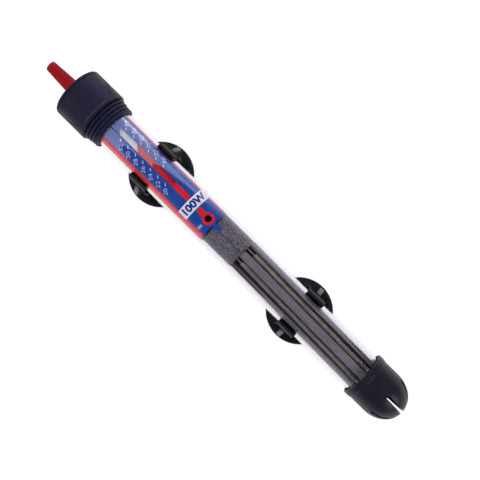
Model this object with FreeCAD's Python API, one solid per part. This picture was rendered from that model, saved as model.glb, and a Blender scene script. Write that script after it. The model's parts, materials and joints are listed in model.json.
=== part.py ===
import FreeCAD, Part
import math
import os

from FreeCAD import Placement, Rotation, Vector

# Submersible aquarium heater: a glass tube with a rubber head at one end and a slotted
# guard at the other, held to the aquarium wall by two clips with suction cups.
#
# Every piece is drawn in tube coordinates, in millimetres: the first coordinate is the
# station, which runs along the tube's axis from the tip of the foot guard to the tip of
# the knob, Y is to the left and Z is to the front, away from the suction cups. Angles go
# round the tube from the front, positive towards +Y. The last step moves each piece to
# the part's own frame, with the origin at mid length in the plane of the cups' lips.

# --- Glass tube -------------------------------------------------------------------------
tube_radius = 11.0
tube_wall = 1.4
tube_tip_station = 13.5
tube_end_depth = 8.0            # length of the rounded bottom
end_flat = 0.4                  # radius of the flat at the tip of a rounded end
tube_inner = tube_radius - tube_wall

# --- Foot guard -------------------------------------------------------------------------
guard_length = 27.8
guard_rim_length = 3.7
guard_rim_proud = 0.35
guard_wall = 1.25
guard_gap = 0.4                 # between barrel and glass, bridged by the grip ribs
guard_dome_length = 14.2
guard_nose_flat = 0.2
slot_count = 6
slot_width = 1.9
slot_length = 12.4
guard_turn = -4.0               # degrees by which the pushed-on guard sits askew
grip_rib_width = 1.5
grip_rib_gap = 0.02
guard_bore = tube_radius + guard_gap
guard_barrel_radius = guard_bore + guard_wall
guard_rim_radius = guard_barrel_radius + guard_rim_proud

# --- Heating element --------------------------------------------------------------------
core_bottom_gap = 5.9           # from the inside of the glass bottom to the core
core_length = 92.5
core_foot_length = 2.6          # bare hub below the lobes, where the coil turns round
core_wall_gap = 1.1             # from a lobe's face to the glass
lobe_count = 6
lobe_width = 4.1
core_hub_radius = 4.9
spigot_length = 4.7
coil_radius = 1.3
coil_wall = 0.35
coil_sink = 1.35                # coil centre below the lobe face
coil_foot_gap = 0.6
coil_start_gaps = (4.7, 1.1, 1.1, 1.1, 1.1, 2.9)    # below the core's top, run by run
coil_link_radius = 0.2
link_reach = 1.4
tail_radius = 0.3
rod_radius = 1.25
rod_gap = 0.05
nut_across = 4.5
nut_height = 1.8
end_disc_thickness = 0.8
end_disc_inset = 0.3
element_lean = -0.8             # degrees: the loose element leans across the tube
cushion_radius = 3.6
cushion_thickness = 1.8
cushion_seat = 0.75             # above the inside of the glass bottom
ferrule_radius = 0.9
ferrule_wall = 0.25
ferrule_length = 4.0
ferrule_circle = 6.6
ferrule_angle = 75.0
core_face = tube_inner - core_wall_gap
coil_circle = core_face - coil_sink
core_bottom = tube_tip_station + tube_wall + core_bottom_gap
core_top = core_bottom + core_length
lobe_bottom = core_bottom + core_foot_length
core_middle = (core_bottom + core_top) / 2.0

# --- Insulating sleeve ------------------------------------------------------------------
fibre_gap = 0.8                 # sleeve to glass
fibre_wall = 0.7
fibre_length = 19.5
fibre_slit = 0.3
fibre_shift = 0.4               # the loose sleeve lies against one side of the glass
part_gap = 0.1                  # between pieces stacked along the tube
fibre_bottom = core_top + 3.0 * part_gap
fibre_top = fibre_bottom + fibre_length
fibre_radius = tube_inner - fibre_gap

# --- Scale card -------------------------------------------------------------------------
card_gap = 0.15                 # card to glass
card_thickness = 0.25
card_centre_angle = -12.4
card_span = 180.0
card_visible_length = 73.0
card_tuck = 10.9                # length hidden inside the head
card_lap = 0.2
slot_angle = -8.0
window_slot_width = 3.05
window_slot_foot = 28.9         # above the card's lower edge
window_slot_long = 69.3
window_slot_short = 66.5
lamp_window_radius = 1.75
lamp_window_height = 4.0
lamp_window_angle = -6.6
tongue_width = 2.4
tongue_length = 4.5
card_outer = tube_inner - card_gap
card_inner = card_outer - card_thickness
base_disc_thickness = 1.1
base_disc_bottom = fibre_top + part_gap
frame_bottom = base_disc_bottom + base_disc_thickness
card_bottom = frame_bottom - card_lap

# --- Thermostat frame -------------------------------------------------------------------
frame_length = 21.0
frame_plate_thickness = 1.6
frame_plate_side_gap = 2.6      # plate edge to glass
frame_disc_gap = 0.2            # discs to the inside of the card
end_wall_thickness = 1.2
end_wall_back = 1.2             # how far the end wall reaches behind the axis
disc_notch_radius = 1.0
plate_face = frame_plate_thickness / 2.0
plate_half_width = tube_inner - frame_plate_side_gap
frame_disc_radius = card_inner - frame_disc_gap
end_wall_bottom = frame_bottom + frame_length
end_wall_top = end_wall_bottom + end_wall_thickness

# --- Contact lever, bimetal and magnet --------------------------------------------------
bimetal_glass_gap = 2.2         # glass to the middle of the bimetal
blade_spacing = 2.8             # bimetal to lever, middle to middle
lever_pivot_height = 15.7       # above the frame's lower end
lever_thickness = 0.7
lever_width = 2.8
lever_lower_reach = 13.2
lever_hub_radius = 1.2
lever_hub_width = 4.8
lever_pin_radius = 0.6
running_gap = 0.05              # radial clearance of every turning fit
press_gap = 0.01
ear_thickness = 1.2
ear_gap = 0.2
ear_half_length = 1.4
contact_radius = 1.1
contact_arm = 10.0              # from the lever's pivot to the contacts
fixed_contact_height = 0.6
contact_opening = 0.77          # with the water warm, at the middle of the scale
bimetal_thickness = 0.4
bimetal_width = 5.0
bimetal_root_offset = 1.5       # bending line above the lever's pivot
clamp_gap = 0.2
clamp_length = 2.8
bracket_offset = 2.0            # bracket above the lever's pivot
bracket_length = 2.4
bracket_leg = 1.2
bracket_bridge = 0.6
clamp_rivet_radius = 0.45
magnet_length = 1.9
magnet_width = 3.6
magnet_height = 0.8
armature_height = 0.3
leaf_thickness = 0.25
leaf_width = 1.8
leaf_length = 4.5
leaf_rise = 2.6
bimetal_z = -(tube_inner - bimetal_glass_gap)
lever_z = bimetal_z + blade_spacing
pivot_station = frame_bottom + lever_pivot_height
contact_station = pivot_station - contact_arm
bimetal_root = pivot_station + bimetal_root_offset
moving_contact_height = (blade_spacing - lever_thickness / 2.0 - fixed_contact_height
                         - contact_opening - bimetal_thickness / 2.0)

# --- Spiral cam, drum and indicator -----------------------------------------------------
turn_cold = 128.0               # degrees of knob from rest down to the coldest setting
turn_warm = 64.0                # degrees of knob from rest up to the warmest setting
cam_rise = 0.8                  # change of radius over the whole turn
cam_inset = 1.2                 # rest radius less than the lever's distance from the axis
cam_height = 3.0
cam_flange_thickness = 2.0
cam_overrun = 24.0              # degrees of spiral kept beyond both limits
cam_gap = 0.08                  # nose to spiral
nose_radius = 0.5
nose_width = 1.6
pivot_pin_radius = 1.0
pivot_pin_sink = 0.8
cam_clearance = 2.4             # end wall to cam
cam_bottom = end_wall_top + cam_clearance
nose_station = cam_bottom + cam_height / 2.0
cam_rest_radius = -lever_z - cam_inset
cam_rise_per_degree = cam_rise / (turn_cold + turn_warm)
drum_gap = 1.1                  # indicator sleeve to the inside of the card
drum_wall = 0.9
drum_length = 42.7
drum_web = 1.5
drum_hub_radius = 3.0
drum_hub_length = 5.0
film_thickness = 0.33
film_gap = 0.02
film_lead = 60.75               # rise of the red edge in one turn
film_span = 340.0
film_rest_height = 27.5         # red edge above the drum's lower end, in the slot, at rest
drum_bottom = cam_bottom + cam_height
drum_top = drum_bottom + drum_length
film_outer = card_inner - drum_gap
drum_outer = film_outer - film_thickness - film_gap

# --- Adjusting spindle and knob ---------------------------------------------------------
spindle_radius = 1.5
spindle_head_sink = 14.0        # length inside the knob
fit_gap = 0.02                  # between pieces pushed together
circlip_thickness = 0.6
circlip_width = 1.3
circlip_bite = 0.25
circlip_mouth = 2.2
knob_length = 19.6
knob_gap = 0.3                  # knob to head
knob_base_radius = 4.15
knob_tip_radius = 3.05
knob_tip_round = 1.1
knob_flute_count = 16
knob_flute_radius = 0.42
knob_flute_depth = 0.3
knob_flute_land = 2.2           # plain length at the tip
knob_bore_end = 0.2

# --- Head, stopper and cable gland ------------------------------------------------------
head_length = 28.7
head_wall = 3.8
head_rib_drops = (2.0, 1.9, 1.5, 1.2)   # below the head's radius, from the tube upwards
head_rib_pitch = 2.08
head_rib_width = 1.66
head_rib_crown = 0.5
head_groove_wall = 1.2
head_edge = 0.35
head_bevel = 1.5
panel_depth = 0.25
panel_foot = 10.3               # above the head's lower end
panel_flat_half_width = 8.0
panel_sweep_length = 13.2
panel_sweep_width = 6.6
gland_radius = 3.9
gland_wall = 1.0
gland_rim = 1.7
gland_height = 6.2
gland_sink = 5.4
gland_floor = 1.6
gland_knob_gap = 0.95
lead_radius = 0.6
lead_hole_gap = 0.1
lead_glass_gap = 0.75           # lead's middle to glass, beside the drum
lead_plug_inset = 2.2           # lead's middle to glass, in the stopper
lead_plug_angle = 150.0
lead_side_angle = 130.0
lead_bend = 1.2
stopper_plug_length = 7.0
stopper_flange = 0.9
stopper_flange_thickness = 2.2
stopper_gap = 0.05
o_ring_section = 0.47
o_ring_height = 3.4
bush_radius = spindle_radius + 1.1
bush_flange_radius = bush_radius + 0.8
bush_flange_thickness = 1.2
bush_top_inset = 0.8
head_radius = max(tube_radius + head_wall,
                  knob_base_radius + gland_knob_gap + 2.0 * gland_radius + gland_rim)
head_bottom = card_bottom + card_visible_length
head_top = head_bottom + head_length
head_roof = head_top - 6.6
tube_mouth = head_roof - stopper_flange_thickness
plug_bottom = tube_mouth - stopper_plug_length
flange_radius = tube_radius + stopper_flange
gland_offset = head_radius - gland_rim - gland_radius
gland_bottom = head_top - gland_sink
gland_top = head_top + gland_height
card_top = head_bottom + card_tuck
knob_bottom = head_top + knob_gap
total_length = knob_bottom + knob_length

# --- Neon lamp and small electrical pieces ----------------------------------------------
lamp_radius = 2.0
lamp_wall = 0.4
lamp_length = 12.2
lamp_glass_gap = 4.4
lamp_bottom_gap = 0.5
lamp_y = -0.6
lamp_electrode_radius = 0.25
lamp_electrode_half_gap = 0.55
lamp_stem_length = 1.2
lamp_lead_radius = 0.2
cradle_station = 8.0
cradle_thickness = 1.2
cradle_half_width = 2.9
resistor_radius = 1.1
resistor_length = 6.5
resistor_y = 4.6
resistor_z = 2.2
resistor_station = 3.0
capacitor_radius = 2.9
capacitor_thickness = 2.2
capacitor_station = 17.1
tag_length = 6.0
tag_width = 2.0
tag_thickness = 0.5
tag_side = 5.2
tag_station = 6.6
lamp_z = tube_inner - lamp_glass_gap

# --- Clips and suction cups -------------------------------------------------------------
clip_stations = {"lower": 71.1, "upper": 178.0}
clip_gap = 0.05
clip_wall = 1.35
clip_width = 10.8
clip_mouth_angle = 54.0         # from the front to each arm's tip
saddle_half_width = 13.4
saddle_wall = 1.4
saddle_top = 3.0                # below the tube's axis
fin_thickness = 2.4
fin_reach = 17.0
plate_thickness = 2.0
plate_reach = 12.0              # open end of the keyhole plate, from the clip's middle
plate_rail = 1.2
button_radius = 4.2
button_height = 2.2
button_gap = 0.1
button_room = 0.4
channel_half_width = 4.6
neck_radius = 2.52
neck_gap = 0.08
cup_radius = 18.5
cup_hub_radius = 5.2
cup_hub_height = 1.7
cup_height = 9.65               # hub face to lip
cup_hollow = 3.7
cup_lip_width = 0.8
cup_lip_thickness = 0.5
clip_bore = tube_radius + clip_gap
clip_outer = clip_bore + clip_wall
button_top = clip_outer + button_room + 0.1
plate_top = button_top + button_height + button_gap
plate_bottom = plate_top + plate_thickness
cup_top = plate_bottom + button_gap + 0.05
axis_height = cup_top + cup_height


# --- Drawing helpers --------------------------------------------------------------------
def around(radius, angle):
    """Y and Z of a point at this distance from the axis and this angle from the front."""
    turn = math.radians(angle)
    return radius * math.sin(turn), radius * math.cos(turn)


def turned(shape, angle):
    """The shape turned round the tube's axis, from the front towards +Y."""
    copy = shape.copy()
    copy.rotate(Vector(0, 0, 0), Vector(1, 0, 0), -angle)
    return copy


def rod(radius, start, end, y=0.0, z=0.0):
    return Part.makeCylinder(radius, end - start, Vector(start, y, z), Vector(1, 0, 0))


def pipe(outer, inner, start, end, y=0.0, z=0.0):
    return rod(outer, start, end, y, z).cut(rod(inner, start, end, y, z))


def block(start, end, y_low, y_high, z_low, z_high):
    corner = Vector(start, y_low, z_low)
    return Part.makeBox(end - start, y_high - y_low, z_high - z_low, corner)


def cross_rod(radius, y_low, y_high, station, z):
    return Part.makeCylinder(radius, y_high - y_low, Vector(station, y_low, z), Vector(0, 1, 0))


def upright_rod(radius, z_low, z_high, station, y=0.0):
    return Part.makeCylinder(radius, z_high - z_low, Vector(station, y, z_low), Vector(0, 0, 1))


def lathe(outline):
    """Solid of revolution round the tube's axis from a closed outline of points or edges."""
    if isinstance(outline[0], tuple):
        corners = [Vector(station, 0, radius) for station, radius in outline]
        wire = Part.makePolygon(corners + corners[:1])
    else:
        wire = Part.Wire(Part.__sortEdges__(outline))
    return Part.Face(wire).revolve(Vector(0, 0, 0), Vector(1, 0, 0), 360)


def line(start, end):
    """Edge between two (station, radius) points of a lathe outline."""
    return Part.makeLine(Vector(start[0], 0, start[1]), Vector(end[0], 0, end[1]))


def arc(start, middle, end):
    """Arc through three (station, radius) points of a lathe outline."""
    points = [Vector(station, 0, radius) for station, radius in (start, middle, end)]
    return Part.Arc(*points).toShape()


def end_station(station, depth, radius):
    """Station of the small flat at the tip of a rounded end."""
    return station - depth * math.sqrt(1.0 - (end_flat / radius) ** 2)


def end_curve(station, depth, radius):
    """Rounded end: elliptic from the full radius at this station to a small flat at the axis."""
    centre = Vector(station, 0, 0)
    side = Vector(station, 0, radius)
    tip = Vector(station - depth, 0, 0)
    if radius >= depth:
        curve = Part.Arc(Part.Ellipse(side, tip, centre), 0, math.acos(end_flat / radius))
    else:
        curve = Part.Arc(Part.Ellipse(tip, side, centre), math.asin(end_flat / radius),
                         math.pi / 2.0)
    flat = end_station(station, depth, radius)
    return [curve.toShape(), line((flat, end_flat), (flat, 0))]


def prism(points, thickness, placing, offset):
    """Flat outline given a thickness. placing turns an (a, b) pair and a height to a point."""
    corners = [placing(a, b, offset) for a, b in points]
    face = Part.Face(Part.makePolygon(corners + corners[:1]))
    return face.extrude(placing(0, 0, thickness) - placing(0, 0, 0))


def wire_run(points, radius, bend):
    """Round wire along straight runs joined by tangent arcs of the bend radius."""
    corners = [Vector(*point) for point in points]
    edges = []
    start = corners[0]
    for before, corner, after in zip(corners, corners[1:], corners[2:]):
        back = (before - corner).normalize()
        ahead = (after - corner).normalize()
        half_turn = (math.pi - back.getAngle(ahead)) / 2.0
        cut = bend * math.tan(half_turn)
        first = corner + back * cut
        last = corner + ahead * cut
        bisector = (back + ahead).normalize()
        middle = corner + bisector * (bend / math.cos(half_turn) - bend)
        edges.append(Part.makeLine(start, first))
        edges.append(Part.Arc(first, middle, last).toShape())
        start = last
    edges.append(Part.makeLine(start, corners[-1]))
    path = Part.Wire(edges)
    direction = corners[1] - corners[0]
    ring = Part.Wire([Part.Circle(corners[0], direction, radius).toShape()])
    return path.makePipeShell([ring], True, False)


def leaned(shape):
    """The heating element's lean across the loose space in the tube."""
    copy = shape.copy()
    copy.rotate(Vector(core_middle, 0, 0), Vector(0, 0, 1), element_lean)
    return copy


def leaned_point(point):
    """Where a point of the upright element lies once the element leans."""
    spin = Rotation(Vector(0, 0, 1), element_lean)
    middle = Vector(core_middle, 0, 0)
    moved = middle + spin.multVec(Vector(*point) - middle)
    return (moved.x, moved.y, moved.z)


parts = {}

# --- Glass tube -------------------------------------------------------------------------
bottom_end = tube_tip_station + tube_end_depth
inner_end_depth = tube_end_depth - tube_wall
parts["glass_tube"] = lathe([
    *end_curve(bottom_end, tube_end_depth, tube_radius),
    line((bottom_end, tube_radius), (tube_mouth, tube_radius)),
    line((tube_mouth, tube_radius), (tube_mouth, tube_inner)),
    line((tube_mouth, tube_inner), (bottom_end, tube_inner)),
    *end_curve(bottom_end, inner_end_depth, tube_inner),
    line((end_station(bottom_end, inner_end_depth, tube_inner), 0),
         (end_station(bottom_end, tube_end_depth, tube_radius), 0)),
])

# --- Foot guard: slotted dome, plain barrel and a raised rim ----------------------------
rim_bottom = guard_length - guard_rim_length
dome_depth = guard_dome_length + guard_nose_flat
dome_hollow = guard_dome_length - guard_wall
guard = lathe([
    *end_curve(guard_dome_length, dome_depth, guard_barrel_radius),
    line((guard_dome_length, guard_barrel_radius), (rim_bottom, guard_barrel_radius)),
    line((rim_bottom, guard_barrel_radius), (rim_bottom, guard_rim_radius)),
    line((rim_bottom, guard_rim_radius), (guard_length, guard_rim_radius)),
    line((guard_length, guard_rim_radius), (guard_length, guard_rim_radius - guard_wall / 1.5)),
    line((guard_length, guard_rim_radius - guard_wall / 1.5), (rim_bottom, guard_bore)),
    line((rim_bottom, guard_bore), (guard_dome_length, guard_bore)),
    *end_curve(guard_dome_length, dome_hollow, guard_bore),
    line((end_station(guard_dome_length, dome_hollow, guard_bore), 0),
         (end_station(guard_dome_length, dome_depth, guard_barrel_radius), 0)),
])
guard = guard.cut(rod(guard_rim_radius, -guard_nose_flat - 1.0, 0))
for index in range(slot_count // 2):
    slot = block(-1, slot_length, -slot_width / 2.0, slot_width / 2.0,
                 -guard_rim_radius, guard_rim_radius)
    guard = guard.cut(turned(slot, guard_turn + index * 360.0 / slot_count))
for index in range(slot_count):
    rib = block(bottom_end, guard_length - 0.6, -grip_rib_width / 2.0, grip_rib_width / 2.0,
                tube_radius + grip_rib_gap, guard_barrel_radius - guard_wall / 2.0)
    rib = rib.cut(rod(tube_radius + grip_rib_gap, bottom_end - 1, guard_length))
    guard = guard.fuse(turned(rib, guard_turn + (index + 0.5) * 360.0 / slot_count))
parts["foot_guard"] = guard.removeSplitter()

# --- Heating element: fluted ceramic core, coil in its grooves, tie rod ------------------
core = rod(core_hub_radius, core_bottom, core_top + spigot_length)
for index in range(lobe_count):
    lobe = block(lobe_bottom, core_top, -lobe_width / 2.0, lobe_width / 2.0, 0, core_face)
    core = core.fuse(turned(lobe, index * 360.0 / lobe_count))
rod_hole = rod(rod_radius + rod_gap, core_bottom - 1, core_top + spigot_length + 1)
parts["ceramic_core"] = leaned(core.cut(rod_hole).removeSplitter())

coil_bottom = lobe_bottom + coil_foot_gap
run_angles = [-30.0 - 60.0 * index for index in range(lobe_count)]
run_tops = [core_top - gap for gap in coil_start_gaps]
runs = []
for angle, top in zip(run_angles, run_tops):
    y, z = around(coil_circle, angle)
    runs.append(pipe(coil_radius, coil_radius - coil_wall, coil_bottom, top, y, z))
parts["heating_coil"] = leaned(Part.makeCompound(runs))

links = []
for index in range(lobe_count - 1):
    at_foot = index % 2 == 0
    first_y, first_z = around(coil_circle, run_angles[index])
    second_y, second_z = around(coil_circle, run_angles[index + 1])
    root = coil_bottom if at_foot else run_tops[index]
    far = root - link_reach if at_foot else core_top + link_reach / 2.0
    route = [(root, first_y, first_z), (far, first_y, first_z),
             (far, second_y, second_z), (root, second_y, second_z)]
    links.append(wire_run(route, coil_link_radius, 0.5))
parts["coil_links"] = leaned(Part.makeCompound(links))

ferrules = []
tails = []
ferrule_bottom = core_top + 10.0
for side, angle, top in ((-1, run_angles[0], run_tops[0]), (1, -run_angles[0], run_tops[-1])):
    y, z = around(ferrule_circle, side * ferrule_angle)
    ferrules.append(pipe(ferrule_radius, ferrule_radius - ferrule_wall, ferrule_bottom,
                         ferrule_bottom + ferrule_length, y, z))
    coil_y, coil_z = around(coil_circle, angle)
    route = [(ferrule_bottom + 1.0, y, z), (ferrule_bottom - 3.0, y, z),
             (core_top + 1.8, coil_y, coil_z), (top, coil_y, coil_z)]
    tails.append(wire_run(route, tail_radius, 1.2))
parts["crimp_ferrules"] = leaned(Part.makeCompound(ferrules))
parts["coil_tails"] = leaned(Part.makeCompound(tails))

disc_bottom = core_bottom - end_disc_thickness
spigot_top = core_top + spigot_length
lower_nut_bottom = disc_bottom - nut_height
parts["core_rod"] = leaned(rod(rod_radius, lower_nut_bottom - 0.3, spigot_top + nut_height + 0.5))
nuts = []
for nut_bottom in (lower_nut_bottom, spigot_top):
    corners = [Vector(nut_bottom, *around(nut_across / math.sqrt(3.0), 60.0 * index))
               for index in range(7)]
    nut = Part.Face(Part.makePolygon(corners)).extrude(Vector(nut_height, 0, 0))
    nuts.append(nut.cut(rod(rod_radius + press_gap, nut_bottom - 1, nut_bottom + nut_height + 1)))
parts["core_nuts"] = leaned(Part.makeCompound(nuts))
parts["core_end_disc"] = leaned(
    pipe(core_face - end_disc_inset, rod_radius + rod_gap, disc_bottom, core_bottom))
cushion_bottom = tube_tip_station + tube_wall + cushion_seat
parts["bottom_cushion"] = rod(cushion_radius, cushion_bottom, cushion_bottom + cushion_thickness)

# --- Insulating sleeve: a rolled fibre sheet with its edges meeting at the front --------
fibre = pipe(fibre_radius, fibre_radius - fibre_wall, fibre_bottom, fibre_top)
slit = block(fibre_bottom - 1, fibre_top + 1, -fibre_slit / 2.0, fibre_slit / 2.0, 0,
             fibre_radius + 1)
fibre = fibre.cut(slit)
fibre.translate(Vector(0, -fibre_shift, 0))
parts["insulating_sleeve"] = fibre

# --- Scale card: half a cylinder with a slot, a lamp window and a tongue ----------------
def card_sheet(start, end, centre, span):
    """Part of the card's cylinder, so many degrees to each side of its centre line."""
    outline = Part.makePolygon([Vector(start, 0, card_inner), Vector(end, 0, card_inner),
                                Vector(end, 0, card_outer), Vector(start, 0, card_outer),
                                Vector(start, 0, card_inner)])
    face = turned(Part.Face(outline), centre + span / 2.0)
    return face.revolve(Vector(0, 0, 0), Vector(1, 0, 0), span)


half_slot = window_slot_width / 2.0
slot_cut = prism([(card_bottom + window_slot_foot, -half_slot),
                  (card_bottom + window_slot_long, -half_slot),
                  (card_bottom + window_slot_short, half_slot),
                  (card_bottom + window_slot_foot, half_slot)],
                 3.0, lambda a, b, h: Vector(a, b, h), card_inner - 1.0)
lamp_window = upright_rod(lamp_window_radius, card_inner - 2.0, card_outer + 1.0,
                          card_bottom + lamp_window_height)
tongue_span = math.degrees(tongue_width / card_outer)
card = card_sheet(card_bottom, card_top, card_centre_angle, card_span)
card = card.fuse(card_sheet(card_bottom - tongue_length, card_bottom, lamp_window_angle,
                            tongue_span))
card = card.cut(turned(slot_cut, slot_angle)).cut(turned(lamp_window, lamp_window_angle))
parts["scale_card"] = card.removeSplitter()

# --- Thermostat frame: base disc, plate, end wall, ears and lamp cradles -----------------
frame = rod(frame_disc_radius, base_disc_bottom, frame_bottom)
frame = frame.fuse(block(frame_bottom, end_wall_bottom, -plate_half_width, plate_half_width,
                         -plate_face, plate_face))
end_wall = rod(frame_disc_radius, end_wall_bottom, end_wall_top)
end_wall = end_wall.common(block(end_wall_bottom, end_wall_top, -frame_disc_radius,
                                 frame_disc_radius, -end_wall_back, frame_disc_radius))
frame = frame.fuse(end_wall)
ear_inner = lever_hub_width / 2.0 + ear_gap
for side in (-1, 1):
    edges = sorted((side * ear_inner, side * (ear_inner + ear_thickness)))
    ear = block(pivot_station - ear_half_length, pivot_station + ear_half_length, edges[0],
                edges[1], lever_z - ear_half_length, -plate_face)
    frame = frame.fuse(ear)
for station in (frame_bottom, frame_bottom + cradle_station):
    wall = block(station, station + cradle_thickness, lamp_y - cradle_half_width,
                 lamp_y + cradle_half_width, plate_face, lamp_z)
    frame = frame.fuse(wall)
frame = frame.cut(rod(lamp_radius + running_gap, frame_bottom, end_wall_bottom, lamp_y, lamp_z))
frame = frame.cut(cross_rod(lever_pin_radius + press_gap, -plate_half_width, plate_half_width,
                            pivot_station, lever_z))
frame = frame.cut(rod(pivot_pin_radius + press_gap, end_wall_bottom - pivot_pin_sink,
                      end_wall_top + 1))
lead_z = -plate_face - tag_thickness - lead_radius
for side in (-1, 1):
    frame = frame.cut(rod(disc_notch_radius, base_disc_bottom - 1, frame_bottom,
                          side * tag_side, lead_z))
parts["thermostat_frame"] = frame.removeSplitter()

pin_half = ear_inner + ear_thickness + 0.2
parts["lever_pin"] = cross_rod(lever_pin_radius, -pin_half, pin_half, pivot_station, lever_z)
parts["pivot_pin"] = rod(pivot_pin_radius, end_wall_bottom - pivot_pin_sink,
                         drum_bottom - 2.0 * part_gap)

# --- Bracket and clamp that hold the bimetal's root -------------------------------------
bracket_start = pivot_station + bracket_offset
bracket_end = bracket_start + bracket_length
bimetal_face = bimetal_z + bimetal_thickness / 2.0
leg_outer = ear_inner + ear_thickness - ear_gap
bracket = block(bracket_start, bracket_end, -leg_outer, leg_outer, bimetal_face, -plate_face)
bracket = bracket.cut(block(bracket_start - 1, bracket_end + 1, -leg_outer + bracket_leg,
                            leg_outer - bracket_leg, bimetal_face + bracket_bridge, 0))
parts["bimetal_bracket"] = bracket
clamp_start = bimetal_root + clamp_gap
clamp_end = clamp_start + clamp_length
clamp = block(clamp_start, clamp_end, -bimetal_width / 2.0, bimetal_width / 2.0,
              bimetal_z - bimetal_thickness / 2.0, bimetal_face)
rivets = []
for side in (-1, 1):
    rivet_y = side * bimetal_width / 4.0
    shank = upright_rod(clamp_rivet_radius, bimetal_z - bimetal_thickness / 2.0 - 0.3,
                        bimetal_face + bracket_bridge, (clamp_start + clamp_end) / 2.0, rivet_y)
    head = upright_rod(2.0 * clamp_rivet_radius, bimetal_z - bimetal_thickness / 2.0 - 0.3,
                       bimetal_z - bimetal_thickness / 2.0,
                       (clamp_start + clamp_end) / 2.0, rivet_y)
    rivet = shank.fuse(head).removeSplitter()
    rivets.append(rivet)
    clamp = clamp.cut(rivet)
    parts["bimetal_bracket"] = parts["bimetal_bracket"].cut(rivet)
parts["bimetal_clamp"] = clamp
parts["clamp_rivets"] = Part.makeCompound(rivets)

# --- Contact lever: bar on a hub, nose on the cam, contact, magnet and leaf spring -------
bar_top = lever_z + lever_thickness / 2.0
bar_bottom = lever_z - lever_thickness / 2.0
bar = block(pivot_station - lever_lower_reach, nose_station + nose_radius + 0.2,
            -lever_width / 2.0, lever_width / 2.0, bar_bottom, bar_top)
hub = cross_rod(lever_hub_radius, -lever_hub_width / 2.0, lever_hub_width / 2.0,
                pivot_station, lever_z)
nose_tip = -cam_rest_radius - cam_gap
nose = cross_rod(nose_radius, -nose_width / 2.0, nose_width / 2.0, nose_station,
                 nose_tip - nose_radius)
nose_stem = block(nose_station - nose_radius, nose_station + nose_radius, -nose_width / 2.0,
                  nose_width / 2.0, lever_z, nose_tip - nose_radius)
lever = bar.fuse(hub).fuse(nose).fuse(nose_stem)
lever = lever.cut(cross_rod(lever_pin_radius + running_gap, -lever_hub_width,
                            lever_hub_width, pivot_station, lever_z))
parts["lever_arm"] = lever.removeSplitter()
parts["fixed_contact"] = upright_rod(contact_radius, bar_bottom - fixed_contact_height,
                                     bar_bottom, contact_station)
magnet_start = pivot_station - lever_lower_reach
parts["snap_magnet"] = block(magnet_start, magnet_start + magnet_length, -magnet_width / 2.0,
                             magnet_width / 2.0, bar_bottom - magnet_height, bar_bottom)
leaf_start = pivot_station - 2.6
leaf = prism([(leaf_start, bar_top), (leaf_start - 1.6, bar_top),
              (leaf_start - leaf_length, bar_top + leaf_rise),
              (leaf_start - leaf_length + 0.3, bar_top + leaf_rise + 0.1),
              (leaf_start - 1.5, bar_top + leaf_thickness),
              (leaf_start, bar_top + leaf_thickness)],
             leaf_width, lambda a, b, h: Vector(a, h, b), -leaf_width / 2.0)
parts["lever_spring"] = leaf

# --- Bimetal: blade, contact and armature -----------------------------------------------
tip_station = pivot_station - lever_lower_reach
parts["bimetal_strip"] = block(tip_station, bimetal_root, -bimetal_width / 2.0,
                               bimetal_width / 2.0, bimetal_z - bimetal_thickness / 2.0,
                               bimetal_face)
parts["moving_contact"] = upright_rod(contact_radius, bimetal_face,
                                      bimetal_face + moving_contact_height, contact_station)
parts["magnet_armature"] = block(tip_station, tip_station + magnet_length,
                                 -magnet_width / 2.0, magnet_width / 2.0, bimetal_face,
                                 bimetal_face + armature_height)

# --- Spiral cam: flange in the drum's mouth and a spiral boss for the lever's nose -------
spiral_start = 180.0 - turn_cold - cam_overrun
spiral_end = 180.0 + turn_warm + cam_overrun
step_count = 32
spiral_points = []
for index in range(step_count + 1):
    angle = spiral_start + (spiral_end - spiral_start) * index / step_count
    radius = cam_rest_radius - cam_rise_per_degree * (angle - 180.0)
    spiral_points.append(Vector(cam_bottom, *around(radius, -angle)))
spiral = Part.BSplineCurve()
spiral.interpolate(spiral_points)
closing_radius = cam_rest_radius - cam_rise / 2.0
closing_angle = (spiral_start + spiral_end) / 2.0 + 180.0
closing = Part.Arc(spiral_points[-1], Vector(cam_bottom, *around(closing_radius, -closing_angle)),
                   spiral_points[0])
boss = Part.Face(Part.Wire([spiral.toShape(), closing.toShape()]))
boss = boss.extrude(Vector(cam_height, 0, 0))
drum_inner = drum_outer - drum_wall
cam = boss.fuse(rod(drum_inner - fit_gap, drum_bottom, drum_bottom + cam_flange_thickness))
cam = cam.cut(rod(pivot_pin_radius + running_gap, cam_bottom - 1, drum_bottom))
parts["spiral_cam"] = cam.removeSplitter()

# --- Indicator drum on its spindle, with the red film wound round it --------------------
drum = pipe(drum_outer, drum_inner, drum_bottom, drum_top)
drum = drum.fuse(rod(drum_inner + fit_gap, drum_top - drum_web, drum_top))
drum = drum.fuse(rod(drum_hub_radius, drum_top - drum_hub_length, drum_top))
drum = drum.cut(rod(spindle_radius + fit_gap, drum_top - drum_hub_length - 1, drum_top + 1))
parts["indicator_drum"] = drum.removeSplitter()

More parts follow.
